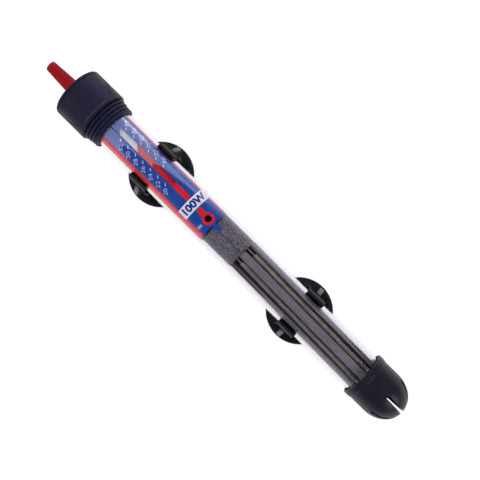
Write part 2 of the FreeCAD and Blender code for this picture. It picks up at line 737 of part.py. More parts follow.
film_inner = drum_outer + film_gap
helix = Part.makeHelix(film_lead, film_lead * film_span / 360.0, film_outer)
band_height = drum_length + film_lead
band = Part.makePolygon([Vector(film_inner, 0, -band_height), Vector(film_outer + 1, 0, -band_height),
                         Vector(film_outer + 1, 0, 0), Vector(film_inner, 0, 0),
                         Vector(film_inner, 0, -band_height)])
below_edge = helix.makePipeShell([band], True, True)
below_edge.rotate(Vector(0, 0, 0), Vector(0, 0, 1), -film_span / 2.0)
below_edge.translate(Vector(0, 0, film_rest_height - film_lead * film_span / 720.0))
film = Part.makeCylinder(film_outer, drum_length).cut(Part.makeCylinder(film_inner, drum_length))
film = film.common(below_edge)
film.Placement = Placement(Vector(drum_bottom, 0, 0),
                           Rotation(Vector(0, 0, 1), Vector(0, -1, 0), Vector(1, 0, 0)))
parts["indicator_sleeve"] = turned(film, slot_angle)

# --- Spindle, circlip and knob ----------------------------------------------------------
spindle_bottom = drum_top - drum_hub_length
spindle_top = knob_bottom + spindle_head_sink
bush_bottom = plug_bottom - bush_flange_thickness
circlip_top = bush_bottom - part_gap
circlip_bottom = circlip_top - circlip_thickness
spindle = rod(spindle_radius, spindle_bottom, spindle_top)
groove = pipe(spindle_radius + 1, spindle_radius - circlip_bite, circlip_bottom - fit_gap,
              circlip_top + fit_gap)
parts["adjuster_spindle"] = spindle.cut(groove)
circlip = pipe(spindle_radius - circlip_bite + circlip_width, spindle_radius - circlip_bite,
               circlip_bottom, circlip_top)
mouth = block(circlip_bottom - 1, circlip_top + 1, -circlip_mouth / 2.0, circlip_mouth / 2.0,
              -spindle_radius - circlip_width, 0)
parts["spindle_circlip"] = circlip.cut(mouth)

shoulder = total_length - knob_tip_round
shoulder_radius = knob_tip_radius
slope = (knob_base_radius - knob_tip_radius) / (shoulder - knob_bottom)
knob = lathe([
    line((knob_bottom, 0), (knob_bottom, knob_base_radius)),
    line((knob_bottom, knob_base_radius), (shoulder, shoulder_radius)),
    arc((shoulder, shoulder_radius),
        (shoulder + 0.72 * knob_tip_round, shoulder_radius - 0.36 * knob_tip_round),
        (total_length, shoulder_radius - 1.25 * knob_tip_round)),
    line((total_length, shoulder_radius - 1.25 * knob_tip_round), (total_length, 0)),
    line((total_length, 0), (knob_bottom, 0)),
])
flute_offset = knob_flute_radius - knob_flute_depth
flute_direction = Vector(shoulder - knob_bottom, 0, knob_tip_radius - knob_base_radius)
flute_start = Vector(knob_bottom - 1.0, 0, knob_base_radius + slope + flute_offset)
flute_length = (total_length - knob_flute_land) - (knob_bottom - 1.0)
flute = Part.makeCylinder(knob_flute_radius, flute_length, flute_start, flute_direction)
for index in range(knob_flute_count):
    knob = knob.cut(turned(flute, index * 360.0 / knob_flute_count))
knob = knob.cut(rod(spindle_radius + fit_gap, knob_bottom - 1, spindle_top + knob_bore_end))
parts["adjuster_knob"] = knob

# --- Stopper, its ring, the spindle's bush and the ring on the spindle ------------------
plug_lead_circle = tube_inner - lead_plug_inset
stopper = rod(tube_inner - stopper_gap, plug_bottom, tube_mouth)
stopper = stopper.fuse(rod(flange_radius, tube_mouth, head_roof))
ring_station = plug_bottom + o_ring_height
ring_circle = tube_inner - 0.02 - o_ring_section
ring_floor = ring_circle - o_ring_section - press_gap
stopper = stopper.cut(pipe(tube_inner + 1, ring_floor, ring_station - 1.2 * o_ring_section,
                           ring_station + 1.2 * o_ring_section))
stopper = stopper.cut(rod(bush_radius + fit_gap, plug_bottom - 1, head_roof + 1))
for side in (-1, 1):
    y, z = around(plug_lead_circle, side * lead_plug_angle)
    stopper = stopper.cut(rod(lead_radius + lead_hole_gap, plug_bottom - 1, head_roof + 1, y, z))
parts["tube_stopper"] = stopper.removeSplitter()
parts["stopper_o_ring"] = Part.makeTorus(ring_circle, o_ring_section,
                                         Vector(ring_station, 0, 0), Vector(1, 0, 0))

bush_top = head_top - bush_top_inset
bush = rod(bush_radius, bush_bottom, bush_top)
bush = bush.fuse(rod(bush_flange_radius, bush_bottom, plug_bottom))
bush = bush.cut(rod(spindle_radius + running_gap, bush_bottom - 1, bush_top + 1))
parts["spindle_bush"] = bush.removeSplitter()
seal_section = bush_top_inset / 2.0
parts["spindle_o_ring"] = Part.makeTorus(spindle_radius + running_gap + seal_section,
                                         seal_section, Vector(bush_top + seal_section, 0, 0),
                                         Vector(1, 0, 0))

# --- Rubber head: ribbed skirt, bevelled body, shallow front panel ----------------------
groove_radius = tube_radius + head_groove_wall
boot_bore = tube_radius + fit_gap
outline = [line((head_bottom, boot_bore), (head_bottom, groove_radius))]
for index, drop in enumerate(head_rib_drops):
    start = head_bottom + index * head_rib_pitch
    end = start + head_rib_width
    crown = head_radius - drop
    foot = crown - head_rib_crown
    outline.append(line((start, groove_radius), (start, foot)))
    outline.append(arc((start, foot), ((start + end) / 2.0, crown), (end, foot)))
    outline.append(line((end, foot), (end, groove_radius)))
    outline.append(line((end, groove_radius), (start + head_rib_pitch, groove_radius)))
body_bottom = head_bottom + len(head_rib_drops) * head_rib_pitch
bevel_radius = head_radius - head_bevel
outline += [
    line((body_bottom, groove_radius), (body_bottom, head_radius - head_edge)),
    line((body_bottom, head_radius - head_edge), (body_bottom + head_edge, head_radius)),
    line((body_bottom + head_edge, head_radius), (head_top - head_bevel, head_radius)),
    arc((head_top - head_bevel, head_radius),
        (head_top - 0.35 * head_bevel, head_radius - 0.35 * head_bevel),
        (head_top, bevel_radius)),
    line((head_top, bevel_radius), (head_top, bush_radius + fit_gap)),
    line((head_top, bush_radius + fit_gap), (head_roof, bush_radius + fit_gap)),
    line((head_roof, bush_radius + fit_gap), (head_roof, flange_radius + fit_gap)),
    line((head_roof, flange_radius + fit_gap), (tube_mouth, flange_radius + fit_gap)),
    line((tube_mouth, flange_radius + fit_gap), (tube_mouth, boot_bore)),
    line((tube_mouth, boot_bore), (head_bottom, boot_bore)),
]
boot = lathe(outline)
panel_bottom = head_bottom + panel_foot
panel_side = panel_flat_half_width + panel_sweep_width
sweep_centre = panel_bottom + panel_sweep_length


def panel_corner(side):
    """Quarter ellipse from the panel's straight lower edge up to its side."""
    centre = Vector(sweep_centre, side * panel_flat_half_width, 0)
    foot = Vector(panel_bottom, side * panel_flat_half_width, 0)
    flank = Vector(sweep_centre, side * panel_side, 0)
    return Part.Arc(Part.Ellipse(foot, flank, centre), 0, math.pi / 2.0).toShape()


far_top = head_top + 1.0
panel_edges = [
    Part.makeLine(Vector(panel_bottom, -panel_flat_half_width, 0),
                  Vector(panel_bottom, panel_flat_half_width, 0)),
    panel_corner(1),
    Part.makeLine(Vector(sweep_centre, panel_side, 0), Vector(far_top, panel_side, 0)),
    Part.makeLine(Vector(far_top, panel_side, 0), Vector(far_top, -panel_side, 0)),
    Part.makeLine(Vector(far_top, -panel_side, 0), Vector(sweep_centre, -panel_side, 0)),
    panel_corner(-1),
]
panel_zone = Part.Face(Part.Wire(Part.__sortEdges__(panel_edges)))
panel_zone = panel_zone.extrude(Vector(0, 0, head_radius + 1.0))
panel_skin = pipe(head_radius + 1.0, head_radius - panel_depth, panel_bottom,
                  head_top - head_bevel)
boot = boot.cut(panel_skin.common(panel_zone))
gland_z = -gland_offset
boot = boot.cut(rod(gland_radius + fit_gap, gland_bottom, head_top + 1, 0, gland_z))
boot = boot.cut(rod(gland_radius - gland_wall, head_roof - 1, gland_bottom, 0, gland_z))
parts["head_boot"] = boot

# --- Cable gland: blind bore that takes the mains cord ----------------------------------
gland_bore = gland_radius - gland_wall
gland = rod(gland_radius, gland_bottom, gland_top, 0, gland_z)
gland = gland.cut(rod(gland_bore, gland_bottom + gland_floor, gland_top + 1, 0, gland_z))
parts["cable_gland"] = gland

# --- Leads: two from the gland down past the drum, one from a tag to the element --------
side_lead_circle = tube_inner - lead_glass_gap
tag_start = frame_bottom + tag_station


def lead_through_head(side):
    """Route shared by both mains leads, from the stopper's top to the frame's end wall."""
    plug_y, plug_z = around(plug_lead_circle, side * lead_plug_angle)
    side_y, side_z = around(side_lead_circle, side * lead_side_angle)
    return [(head_roof, plug_y, plug_z), (plug_bottom - 6.0, plug_y, plug_z),
            (drum_top + 2.0, side_y, side_z), (end_wall_top + 0.6, side_y, side_z),
            (end_wall_bottom - 3.0, side * tag_side, lead_z)]


def ferrule_mouth(side):
    """The point where a lead enters its crimp ferrule, on the leaning element."""
    y, z = around(ferrule_circle, side * ferrule_angle)
    return leaned_point((ferrule_bottom + ferrule_length - 1.0, y, z))


def before_ferrule(side):
    """A point of the lead straight above its ferrule."""
    y, z = around(ferrule_circle, side * ferrule_angle)
    return leaned_point((ferrule_bottom + ferrule_length + 1.6, y, z))


live_route = lead_through_head(1) + [(tag_start + tag_length - 2.0, tag_side, lead_z)]
neutral_route = lead_through_head(-1) + [(base_disc_bottom - 0.8, -tag_side, lead_z),
                                         before_ferrule(-1), ferrule_mouth(-1)]
switched_route = [(tag_start + 2.0, tag_side, lead_z), (base_disc_bottom - 0.8, tag_side, lead_z),
                  before_ferrule(1), ferrule_mouth(1)]
parts["live_lead"] = wire_run(live_route, lead_radius, lead_bend)
parts["neutral_lead"] = wire_run(neutral_route, lead_radius, lead_bend)
parts["switched_lead"] = wire_run(switched_route, lead_radius, lead_bend)
tags = []
for side in (-1, 1):
    tags.append(block(tag_start, tag_start + tag_length, side * tag_side - tag_width / 2.0,
                      side * tag_side + tag_width / 2.0, -plate_face - tag_thickness,
                      -plate_face))
parts["terminal_tags"] = Part.makeCompound(tags)

# --- Neon lamp, its resistor and the suppression capacitor ------------------------------
lamp_bottom = frame_bottom + lamp_bottom_gap
lamp_top = lamp_bottom + lamp_length
lamp = rod(lamp_radius, lamp_bottom + lamp_radius, lamp_top, lamp_y, lamp_z)
lamp = lamp.fuse(Part.makeSphere(lamp_radius, Vector(lamp_bottom + lamp_radius, lamp_y, lamp_z)))
cavity = rod(lamp_radius - lamp_wall, lamp_bottom + lamp_radius, lamp_top + 1, lamp_y, lamp_z)
cavity = cavity.fuse(Part.makeSphere(lamp_radius - lamp_wall,
                                     Vector(lamp_bottom + lamp_radius, lamp_y, lamp_z)))
parts["neon_lamp"] = lamp.cut(cavity).removeSplitter()
stem = rod(lamp_radius - lamp_wall - fit_gap, lamp_top - lamp_stem_length, lamp_top, lamp_y, lamp_z)
lamp_legs = []
for side in (-1, 1):
    electrode_y = lamp_y + side * lamp_electrode_half_gap
    stem = stem.fuse(rod(lamp_electrode_radius, lamp_bottom + 1.2, lamp_top, electrode_y, lamp_z))
    leg_y = lamp_y + side * 2.0
    leg = wire_run([(lamp_top, electrode_y, lamp_z), (lamp_top + 1.1, electrode_y, lamp_z),
                    (lamp_top + 1.1, leg_y, plate_face)], lamp_lead_radius, 0.4)
    lamp_legs.append(leg)
parts["neon_electrodes"] = stem.removeSplitter()

resistor_start = frame_bottom + resistor_station
resistor_end = resistor_start + resistor_length
resistor = rod(resistor_radius, resistor_start, resistor_end, resistor_y, resistor_z)
parts["lamp_resistor"] = resistor
for start, reach in ((resistor_start, -1.2), (resistor_end, 1.2)):
    leg = wire_run([(start, resistor_y, resistor_z), (start + reach, resistor_y, resistor_z),
                    (start + reach, resistor_y, plate_face)], lamp_lead_radius, 0.4)
    lamp_legs.append(leg)
parts["component_leads"] = Part.makeCompound(lamp_legs)
parts["suppression_capacitor"] = upright_rod(capacitor_radius, plate_face,
                                             plate_face + capacitor_thickness,
                                             frame_bottom + capacitor_station)

# --- Clip: sprung arms, saddle, fins and a keyhole plate for the cup's neck --------------
half_clip = clip_width / 2.0


def clip():
    """One clip centred on the tube's axis, with its keyhole open towards +station."""
    arm = Part.makePolygon([Vector(-half_clip, 0, clip_bore - 0.2),
                            Vector(half_clip, 0, clip_bore - 0.2),
                            Vector(half_clip, 0, clip_outer), Vector(-half_clip, 0, clip_outer),
                            Vector(-half_clip, 0, clip_bore - 0.2)])
    arms = turned(Part.Face(arm), -clip_mouth_angle)
    arms = arms.revolve(Vector(0, 0, 0), Vector(1, 0, 0), 360.0 - 2.0 * clip_mouth_angle)
    shape = arms
    for side in (-1, 1):
        wall = sorted((side * saddle_half_width, side * (saddle_half_width - saddle_wall)))
        shape = shape.fuse(block(-half_clip, half_clip, wall[0], wall[1], -plate_bottom,
                                 -saddle_top))
        rib = sorted((side * channel_half_width, side * (channel_half_width + plate_rail)))
        shape = shape.fuse(block(-half_clip, half_clip, rib[0], rib[1], -plate_top,
                                 -clip_bore + 1.2))
        rail = sorted((side * (saddle_half_width - saddle_wall),
                       side * (saddle_half_width - saddle_wall - plate_rail)))
        shape = shape.fuse(block(-half_clip, plate_reach, rail[0], rail[1], -plate_top,
                                 -plate_top + plate_rail))
        fin = prism([(side * (channel_half_width + plate_rail), -plate_bottom),
                     (side * (fin_reach - 2.4), -plate_bottom),
                     (side * fin_reach, -plate_top + 1.4),
                     (side * fin_reach, -plate_top + 3.0),
                     (side * (saddle_half_width + 0.2), -saddle_top - 1.0),
                     (side * (saddle_half_width - 0.5), -saddle_top + 0.2),
                     (side * (clip_outer - 0.4), 0.8),
                     (side * (channel_half_width + plate_rail), 0.8)],
                    fin_thickness, lambda a, b, h: Vector(h, a, b), -fin_thickness / 2.0)
        shape = shape.fuse(fin)
    plate_half = saddle_half_width - saddle_wall
    shape = shape.fuse(block(-half_clip, half_clip, -saddle_half_width, saddle_half_width,
                             -plate_bottom, -plate_top))
    shape = shape.fuse(block(half_clip, plate_reach, -plate_half, plate_half,
                             -plate_bottom, -plate_top))
    keyhole = upright_rod(neck_radius + neck_gap, -plate_bottom - 1, -plate_top + 1, 0)
    lane = block(0, plate_reach + 1, -neck_radius - neck_gap, neck_radius + neck_gap,
                 -plate_bottom - 1, -plate_top + 1)
    shape = shape.cut(keyhole.fuse(lane))
    return shape.cut(rod(clip_bore, -plate_reach - 1, plate_reach + 1)).removeSplitter()


def suction_cup():
    """One cup under the clip's centre: retaining button, neck, hub and flexible dish."""
    def edge(start, end):
        return Part.makeLine(Vector(start[0], 0, start[1]), Vector(end[0], 0, end[1]))

    def bend(start, middle, end):
        return Part.Arc(Vector(start[0], 0, start[1]), Vector(middle[0], 0, middle[1]),
                        Vector(end[0], 0, end[1])).toShape()

    lip = -axis_height
    button_foot = -button_top - button_height
    hub_foot = -cup_top - cup_hub_height
    outline = [
        edge((0, -button_top), (button_radius - 0.6, -button_top)),
        bend((button_radius - 0.6, -button_top), (button_radius - 0.17, -button_top - 0.17),
             (button_radius, -button_top - 0.6)),
        edge((button_radius, -button_top - 0.6), (button_radius, button_foot)),
        edge((button_radius, button_foot), (neck_radius, button_foot)),
        edge((neck_radius, button_foot), (neck_radius, -cup_top)),
        edge((neck_radius, -cup_top), (cup_hub_radius, -cup_top)),
        edge((cup_hub_radius, -cup_top), (cup_hub_radius, hub_foot)),
        bend((cup_hub_radius, hub_foot), (0.66 * cup_radius, lip + 0.5 * (cup_height - 2.4)),
             (cup_radius, lip + cup_lip_thickness)),
        edge((cup_radius, lip + cup_lip_thickness), (cup_radius, lip)),
        edge((cup_radius, lip), (cup_radius - cup_lip_width, lip)),
        bend((cup_radius - cup_lip_width, lip), (0.55 * cup_radius, lip + 0.72 * cup_hollow),
             (end_flat, lip + cup_hollow)),
        edge((end_flat, lip + cup_hollow), (0, lip + cup_hollow)),
        edge((0, lip + cup_hollow), (0, -button_top)),
    ]
    face = Part.Face(Part.Wire(Part.__sortEdges__(outline)))
    return face.revolve(Vector(0, 0, 0), Vector(0, 0, 1), 360)


for place, station in clip_stations.items():
    holder = clip()
    if place == "upper":
        holder.rotate(Vector(0, 0, 0), Vector(0, 0, 1), 180)
    holder.translate(Vector(station, 0, 0))
    parts[place + "_clip"] = holder
    cup = suction_cup()
    cup.translate(Vector(station, 0, 0))
    parts[place + "_suction_cup"] = cup

# --- Move each piece to the part's frame and write it -----------------------------------
for node, shape in parts.items():
    shape.translate(Vector(-total_length / 2.0, 0, axis_height))
    shape.exportStep("parts/" + node + ".step")
    print(node, "solids", len(shape.Solids), "valid", shape.isValid(), "volume",
          round(shape.Volume, 2))

print("length", round(total_length, 3), "axis height", round(axis_height, 3))
print("lever ratio", round(math.degrees(cam_rise_per_degree)
                           / (nose_station - pivot_station), 6))
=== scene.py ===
"""Looks of a sealed glass aquarium heater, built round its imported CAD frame.

Pieces are worked out in tube coordinates, in millimetres. The station runs along the
tube's axis from the tip of the foot guard to the tip of the knob, "left" is +Y and
"front" is +Z, away from the suction cups. Angles go round the tube from the front,
positive towards the left, in degrees.
"""

from __future__ import annotations

import json
import logging
import math
from dataclasses import dataclass
from enum import Enum

import bmesh
import bpy
import numpy as np
from mathutils import Matrix, Vector


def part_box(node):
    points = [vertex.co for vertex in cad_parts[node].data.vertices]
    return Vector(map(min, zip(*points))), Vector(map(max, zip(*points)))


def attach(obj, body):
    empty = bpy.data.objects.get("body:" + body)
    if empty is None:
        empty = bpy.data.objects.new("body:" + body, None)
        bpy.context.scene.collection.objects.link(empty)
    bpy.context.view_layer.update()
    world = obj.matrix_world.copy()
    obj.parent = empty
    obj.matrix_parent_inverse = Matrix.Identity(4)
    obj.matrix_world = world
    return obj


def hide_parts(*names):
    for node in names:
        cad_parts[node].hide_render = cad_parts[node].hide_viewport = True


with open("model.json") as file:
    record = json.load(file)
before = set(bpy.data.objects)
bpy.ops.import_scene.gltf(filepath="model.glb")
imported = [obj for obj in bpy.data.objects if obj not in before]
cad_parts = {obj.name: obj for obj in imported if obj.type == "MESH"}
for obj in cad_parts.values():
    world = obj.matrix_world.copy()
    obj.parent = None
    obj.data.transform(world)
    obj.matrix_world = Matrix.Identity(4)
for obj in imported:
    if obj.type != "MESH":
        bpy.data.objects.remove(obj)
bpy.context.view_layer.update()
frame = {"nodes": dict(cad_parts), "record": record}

MM = 0.001
log = logging.getLogger("heater")


class Place(Enum):
    """The two clips and the two suction cups, by where they sit on the tube."""

    UPPER = "upper"
    LOWER = "lower"


# --- Tube coordinates -------------------------------------------------------------------
@dataclass(frozen=True)
class TubeLine:
    """The tube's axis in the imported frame.

    Args:
        foot: X of station 0, in millimetres.
        height: Z of the tube's axis, in millimetres.
    """

    foot: float
    height: float

    @classmethod
    def from_frame(cls) -> TubeLine:
        """Reads the axis from the boxes of the tube and the foot guard."""
        low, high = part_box("glass_tube")
        return cls(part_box("foot_guard")[0].x / MM, (low.z + high.z) / 2.0 / MM)

    def place(self, station: np.ndarray, left: np.ndarray, front: np.ndarray) -> np.ndarray:
        """Turns tube coordinates in millimetres into points in metres."""
        spots = np.broadcast_arrays(np.add(station, self.foot), left,
                                    np.add(front, self.height))
        return np.stack(spots, axis=-1) * MM

    def turn(self, station: np.ndarray, radius: np.ndarray, angle: np.ndarray) -> np.ndarray:
        """Points in metres at a station, a distance from the axis and an angle."""
        bearing = np.radians(angle)
        return self.place(station, radius * np.sin(bearing), radius * np.cos(bearing))

    def span(self, node: str) -> tuple[float, float]:
        """First and last station of a CAD node."""
        low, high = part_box(node)
        return low.x / MM - self.foot, high.x / MM - self.foot


# --- Profiles and meshes ----------------------------------------------------------------
def smoothstep(value: np.ndarray, start: float, end: float) -> np.ndarray:
    """Rises from 0 at start to 1 at end as 3t^2 - 2t^3, and is level outside."""
    t = np.clip((np.asarray(value) - start) / (end - start), 0.0, 1.0)
    return t * t * (3.0 - 2.0 * t)


def rounded(corners: list[tuple[float, float, float]], closed: bool,
            steps: int = 5) -> np.ndarray:
    """Rounds a polygon's corners.

    Each corner P with reach t becomes the curve (1-u)^2 A + 2u(1-u) P + u^2 B, where A
    and B lie t before and after it, so the edges stay where they are.

    Args:
        corners: Two coordinates and the reach of the rounding, for each corner.
        closed: Whether the last corner joins the first.
        steps: Points on each rounded corner.

    Returns:
        An array of points, steps for each corner.
    """
    table = np.array(corners, float)
    points, reach = table[:, :2], table[:, 2:3]
    before, after = np.roll(points, 1, axis=0), np.roll(points, -1, axis=0)
    if not closed:
        before[0], after[-1] = points[0], points[-1]
    starts, ends = before - points, after - points
    lengths = [np.linalg.norm(side, axis=1, keepdims=True) for side in (starts, ends)]
    cut = [points + side / np.maximum(length, 1e-9) * np.minimum(reach, 0.48 * length)
           for side, length in zip((starts, ends), lengths)]
    u = np.linspace(0.0, 1.0, steps)[None, :, None]
    curve = ((1 - u) ** 2 * cut[0][:, None] + 2 * u * (1 - u) * points[:, None]
             + u ** 2 * cut[1][:, None])
    flat = curve.reshape(-1, 2)
    moved = np.linalg.norm(np.diff(flat, axis=0), axis=1) > 1e-6
    return flat[np.concatenate([[True], moved])]


def densified(profile: np.ndarray, step: float) -> np.ndarray:
    """Adds points to a profile so that no two are further apart than step."""
    lengths = np.linalg.norm(np.diff(profile, axis=0), axis=1)
    along = np.concatenate([[0.0], np.cumsum(lengths)])
    counts = np.maximum(np.ceil(lengths / step).astype(int), 1)
    owner = np.repeat(np.arange(len(lengths)), counts)
    rank = np.arange(counts.sum()) - np.repeat(np.cumsum(counts) - counts, counts)
    marks = np.append(along[owner] + lengths[owner] * rank / counts[owner], along[-1])
    return np.stack([np.interp(marks, along, profile[:, k]) for k in (0, 1)], axis=-1)


def quads(rows: int, columns: int, close_rows: bool, close_columns: bool) -> np.ndarray:
    """Faces of a grid whose point (i, j) has the index i * columns + j."""
    i, j = np.meshgrid(np.arange(rows if close_rows else rows - 1),
                       np.arange(columns if close_columns else columns - 1), indexing="ij")
    ni, nj = (i + 1) % rows, (j + 1) % columns
    return np.stack([i * columns + j, i * columns + nj, ni * columns + nj,
                     ni * columns + j], axis=-1).reshape(-1, 4)


def make_piece(name: str, points: np.ndarray, faces: list, sharp: float = 40.0,
               merge: float = 1e-7) -> bpy.types.Object:
    """Makes a smooth-shaded mesh piece with its faces outwards.

    Args:
        name: The piece's name.
        points: Points in metres, of any grid shape.
        faces: Lists of point indices.
        sharp: Angle in degrees above which an edge stays sharp.
        merge: Distance in metres under which points become one, as at a pole.

    Returns:
        The new object, at the origin.
    """
    mesh = bpy.data.meshes.new(name)
    mesh.from_pydata(points.reshape(-1, 3).tolist(), [], faces)
    return finish_mesh(name, mesh, sharp, merge)


def finish_mesh(name: str, mesh: bpy.types.Mesh, sharp: float,
                merge: float) -> bpy.types.Object:
    """Merges a mesh's doubles, turns its faces outwards, and links it as an object."""
    work = bmesh.new()
    work.from_mesh(mesh)
    bmesh.ops.remove_doubles(work, verts=work.verts, dist=merge)
    bmesh.ops.dissolve_degenerate(work, edges=work.edges, dist=merge)
    loose = [v for v in work.verts if not v.link_faces]
    bmesh.ops.delete(work, geom=loose, context="VERTS")
    bmesh.ops.recalc_face_normals(work, faces=work.faces)
    work.to_mesh(mesh)
    work.free()
    mesh.shade_smooth()
    mesh.set_sharp_from_angle(angle=math.radians(sharp))
    piece = bpy.data.objects.new(name, mesh)
    bpy.context.scene.collection.objects.link(piece)
    return piece


def lathe_piece(name: str, points: np.ndarray, closed_profile: bool,
                full_turn: bool = True, sharp: float = 40.0) -> bpy.types.Object:
    """Makes a piece from a grid of profile points (rows) carried round (columns).

    A profile that starts and ends on the axis closes at its poles. A part turn of a
    closed profile gets a flat cap at each end.
    """
    rows, columns = points.shape[:2]
    faces = quads(rows, columns, closed_profile, full_turn).tolist()
    if not full_turn:
        first = np.arange(rows) * columns
        faces += [first.tolist(), (first[::-1] + columns - 1).tolist()]
    return make_piece(name, points, faces, sharp)


def bevel(piece: bpy.types.Object, width: float, segments: int = 2,
          angle: float = 35.0) -> None:
    """Rounds a piece's edges sharper than angle, by width in millimetres."""
    modifier = piece.modifiers.new("edges", "BEVEL")
    modifier.width = width * MM
    modifier.segments = segments
    modifier.limit_method = "ANGLE"
    modifier.angle_limit = math.radians(angle)
    modifier.use_clamp_overlap = True
    modifier.harden_normals = True


def merged_copy(node: str, name: str) -> bpy.types.Object:
    """Copies a CAD node as one connected mesh, with its flat faces cut as few ways as
    they can be."""
    mesh = frame["nodes"][node].data.copy()
    mesh.materials.clear()
    if "custom_normal" in mesh.attributes:
        mesh.attributes.remove(mesh.attributes["custom_normal"])
    work = bmesh.new()
    work.from_mesh(mesh)
    bmesh.ops.remove_doubles(work, verts=work.verts, dist=2e-6)
    bmesh.ops.dissolve_limit(work, angle_limit=math.radians(0.6), verts=work.verts,
                             edges=work.edges)
    wide = [face for face in work.faces if len(face.verts) > 4]
    bmesh.ops.triangulate(work, faces=wide, ngon_method="EAR_CLIP")
    work.to_mesh(mesh)
    work.free()
    return finish_mesh(name, mesh, 32.0, 1e-7)


# --- Finishes ---------------------------------------------------------------------------
def linear(colour: str) -> tuple[float, float, float, float]:
    """Turns an sRGB hex colour such as '#38394e' into linear red, green, blue and 1."""
    parts = (int(colour[k:k + 2], 16) / 255.0 for k in (1, 3, 5))
    return (*(c / 12.92 if c <= 0.04045 else ((c + 0.055) / 1.055) ** 2.4
              for c in parts), 1.0)


def add_node(tree: bpy.types.NodeTree, kind: str, settings: dict | None = None,
             sockets: dict | None = None) -> bpy.types.Node:
    """Adds a node.

    Args:
        tree: The node tree.
        kind: The node's type name.
        settings: The node's properties.
        sockets: Its inputs, by name or number: a constant, or an output to link.

    Returns:
        The node.
    """
    node = tree.nodes.new(kind)
    for key, value in (settings or {}).items():
        setattr(node, key, value)
    for key, value in (sockets or {}).items():
        if isinstance(value, bpy.types.NodeSocket):
            tree.links.new(value, node.inputs[key])
        else:
            node.inputs[key].default_value = value
    return node


@dataclass(frozen=True)
class Finish:
    """A solid surface with faint patches of a second colour and a fine grain.

    Args:
        name: Common name of the material and how its surface was made.
        colour: Main colour.
        patch: Colour of the patches.
        patch_mm: Size of the patches.
        grain_mm: Spacing of the grain.
        grain_depth_mm: Height of the grain.
        smooth: Roughness between grains.
        rough: Roughness on the grains.
        metallic: 1 for bare metal.
        ior: Index of refraction, for what isn't metal.
        specular: Strength of the surface's reflections; 0.5 is what the index gives.
        coat: Weight of a clear coat.
        stretch: How much longer the grain is along the tube than across it.
    """

    name: str
    colour: str
    patch: str
    patch_mm: float = 6.0
    grain_mm: float = 0.5
    grain_depth_mm: float = 0.02
    smooth: float = 0.4
    rough: float = 0.5
    metallic: float = 0.0
    ior: float = 1.5
    specular: float = 0.5
    coat: float = 0.0
    stretch: float = 1.0

    def build(self) -> bpy.types.Material:
        """Builds the material."""
        material = bpy.data.materials.new(self.name)
        material.use_nodes = True
        tree = material.node_tree
        tree.nodes.clear()
        spot = add_node(tree, "ShaderNodeTexCoord").outputs["Object"]
        add_node(tree, "ShaderNodeOutputMaterial",
                 sockets={"Surface": self.surface(tree, spot)})
        return material

    def noise(self, tree: bpy.types.NodeTree, spot: bpy.types.NodeSocket, size_mm: float,
              detail: float = 3.0) -> bpy.types.NodeSocket:
        """Noise with features of about size_mm, drawn out along the tube by stretch."""
        drawn = add_node(tree, "ShaderNodeMapping", sockets={
            "Vector": spot, "Scale": (1.0 / self.stretch, 1.0, 1.0)})
        return add_node(tree, "ShaderNodeTexNoise", sockets={
            "Vector": drawn.outputs["Vector"], "Scale": 1.0 / (size_mm * MM),
            "Detail": detail, "Roughness": 0.6}).outputs["Fac"]

    def tint(self, tree: bpy.types.NodeTree,
             spot: bpy.types.NodeSocket) -> bpy.types.NodeSocket:
        """Main colour mixed with the patches' colour."""
        share = add_node(tree, "ShaderNodeMapRange", sockets={
            "Value": self.noise(tree, spot, self.patch_mm), "From Min": 0.35,
            "From Max": 0.65})
        return add_node(tree, "ShaderNodeMix", {"data_type": "RGBA"}, {
            0: share.outputs["Result"], 6: linear(self.colour),
            7: linear(self.patch)}).outputs[2]

    def gleam(self, tree: bpy.types.NodeTree,
              spot: bpy.types.NodeSocket) -> bpy.types.NodeSocket | float:
        """Strength of the reflections, here the same all over."""
        return self.specular

    def surface(self, tree: bpy.types.NodeTree,
                spot: bpy.types.NodeSocket) -> bpy.types.NodeSocket:
        """The shader: tinted, with the grain in its roughness and its relief."""
        grain = self.noise(tree, spot, self.grain_mm)
        gloss = add_node(tree, "ShaderNodeMapRange", sockets={
            "Value": grain, "From Min": 0.3, "From Max": 0.7, "To Min": self.smooth,
            "To Max": self.rough})
        relief = add_node(tree, "ShaderNodeBump", sockets={
            "Distance": self.grain_depth_mm * MM, "Height": grain})
        return add_node(tree, "ShaderNodeBsdfPrincipled", sockets={
            "Base Color": self.tint(tree, spot), "Metallic": self.metallic,
            "Roughness": gloss.outputs["Result"], "IOR": self.ior,
            "Specular IOR Level": self.gleam(tree, spot),
            "Coat Weight": self.coat,
            "Normal": relief.outputs["Normal"]}).outputs["BSDF"]


@dataclass(frozen=True)
class FleckedFinish(Finish):
    """A finish with small flecks of a third colour, as in pressed fibre or dust.

    Args:
        fleck: Colour of the flecks.
        fleck_mm: Size of a fleck.
        fleck_share: Noise level above which a fleck shows.
    """

    fleck: str = "#ffffff"
    fleck_mm: float = 0.5
    fleck_share: float = 0.58

    def tint(self, tree: bpy.types.NodeTree,
             spot: bpy.types.NodeSocket) -> bpy.types.NodeSocket:
        """Patches first, and flecks over them."""
        ground = super().tint(tree, spot)
        share = add_node(tree, "ShaderNodeMapRange", sockets={
            "Value": self.noise(tree, spot, self.fleck_mm, 1.5),
            "From Min": self.fleck_share, "From Max": self.fleck_share + 0.12})
        return add_node(tree, "ShaderNodeMix", {"data_type": "RGBA"}, {
            0: share.outputs["Result"], 6: ground, 7: linear(self.fleck)}).outputs[2]


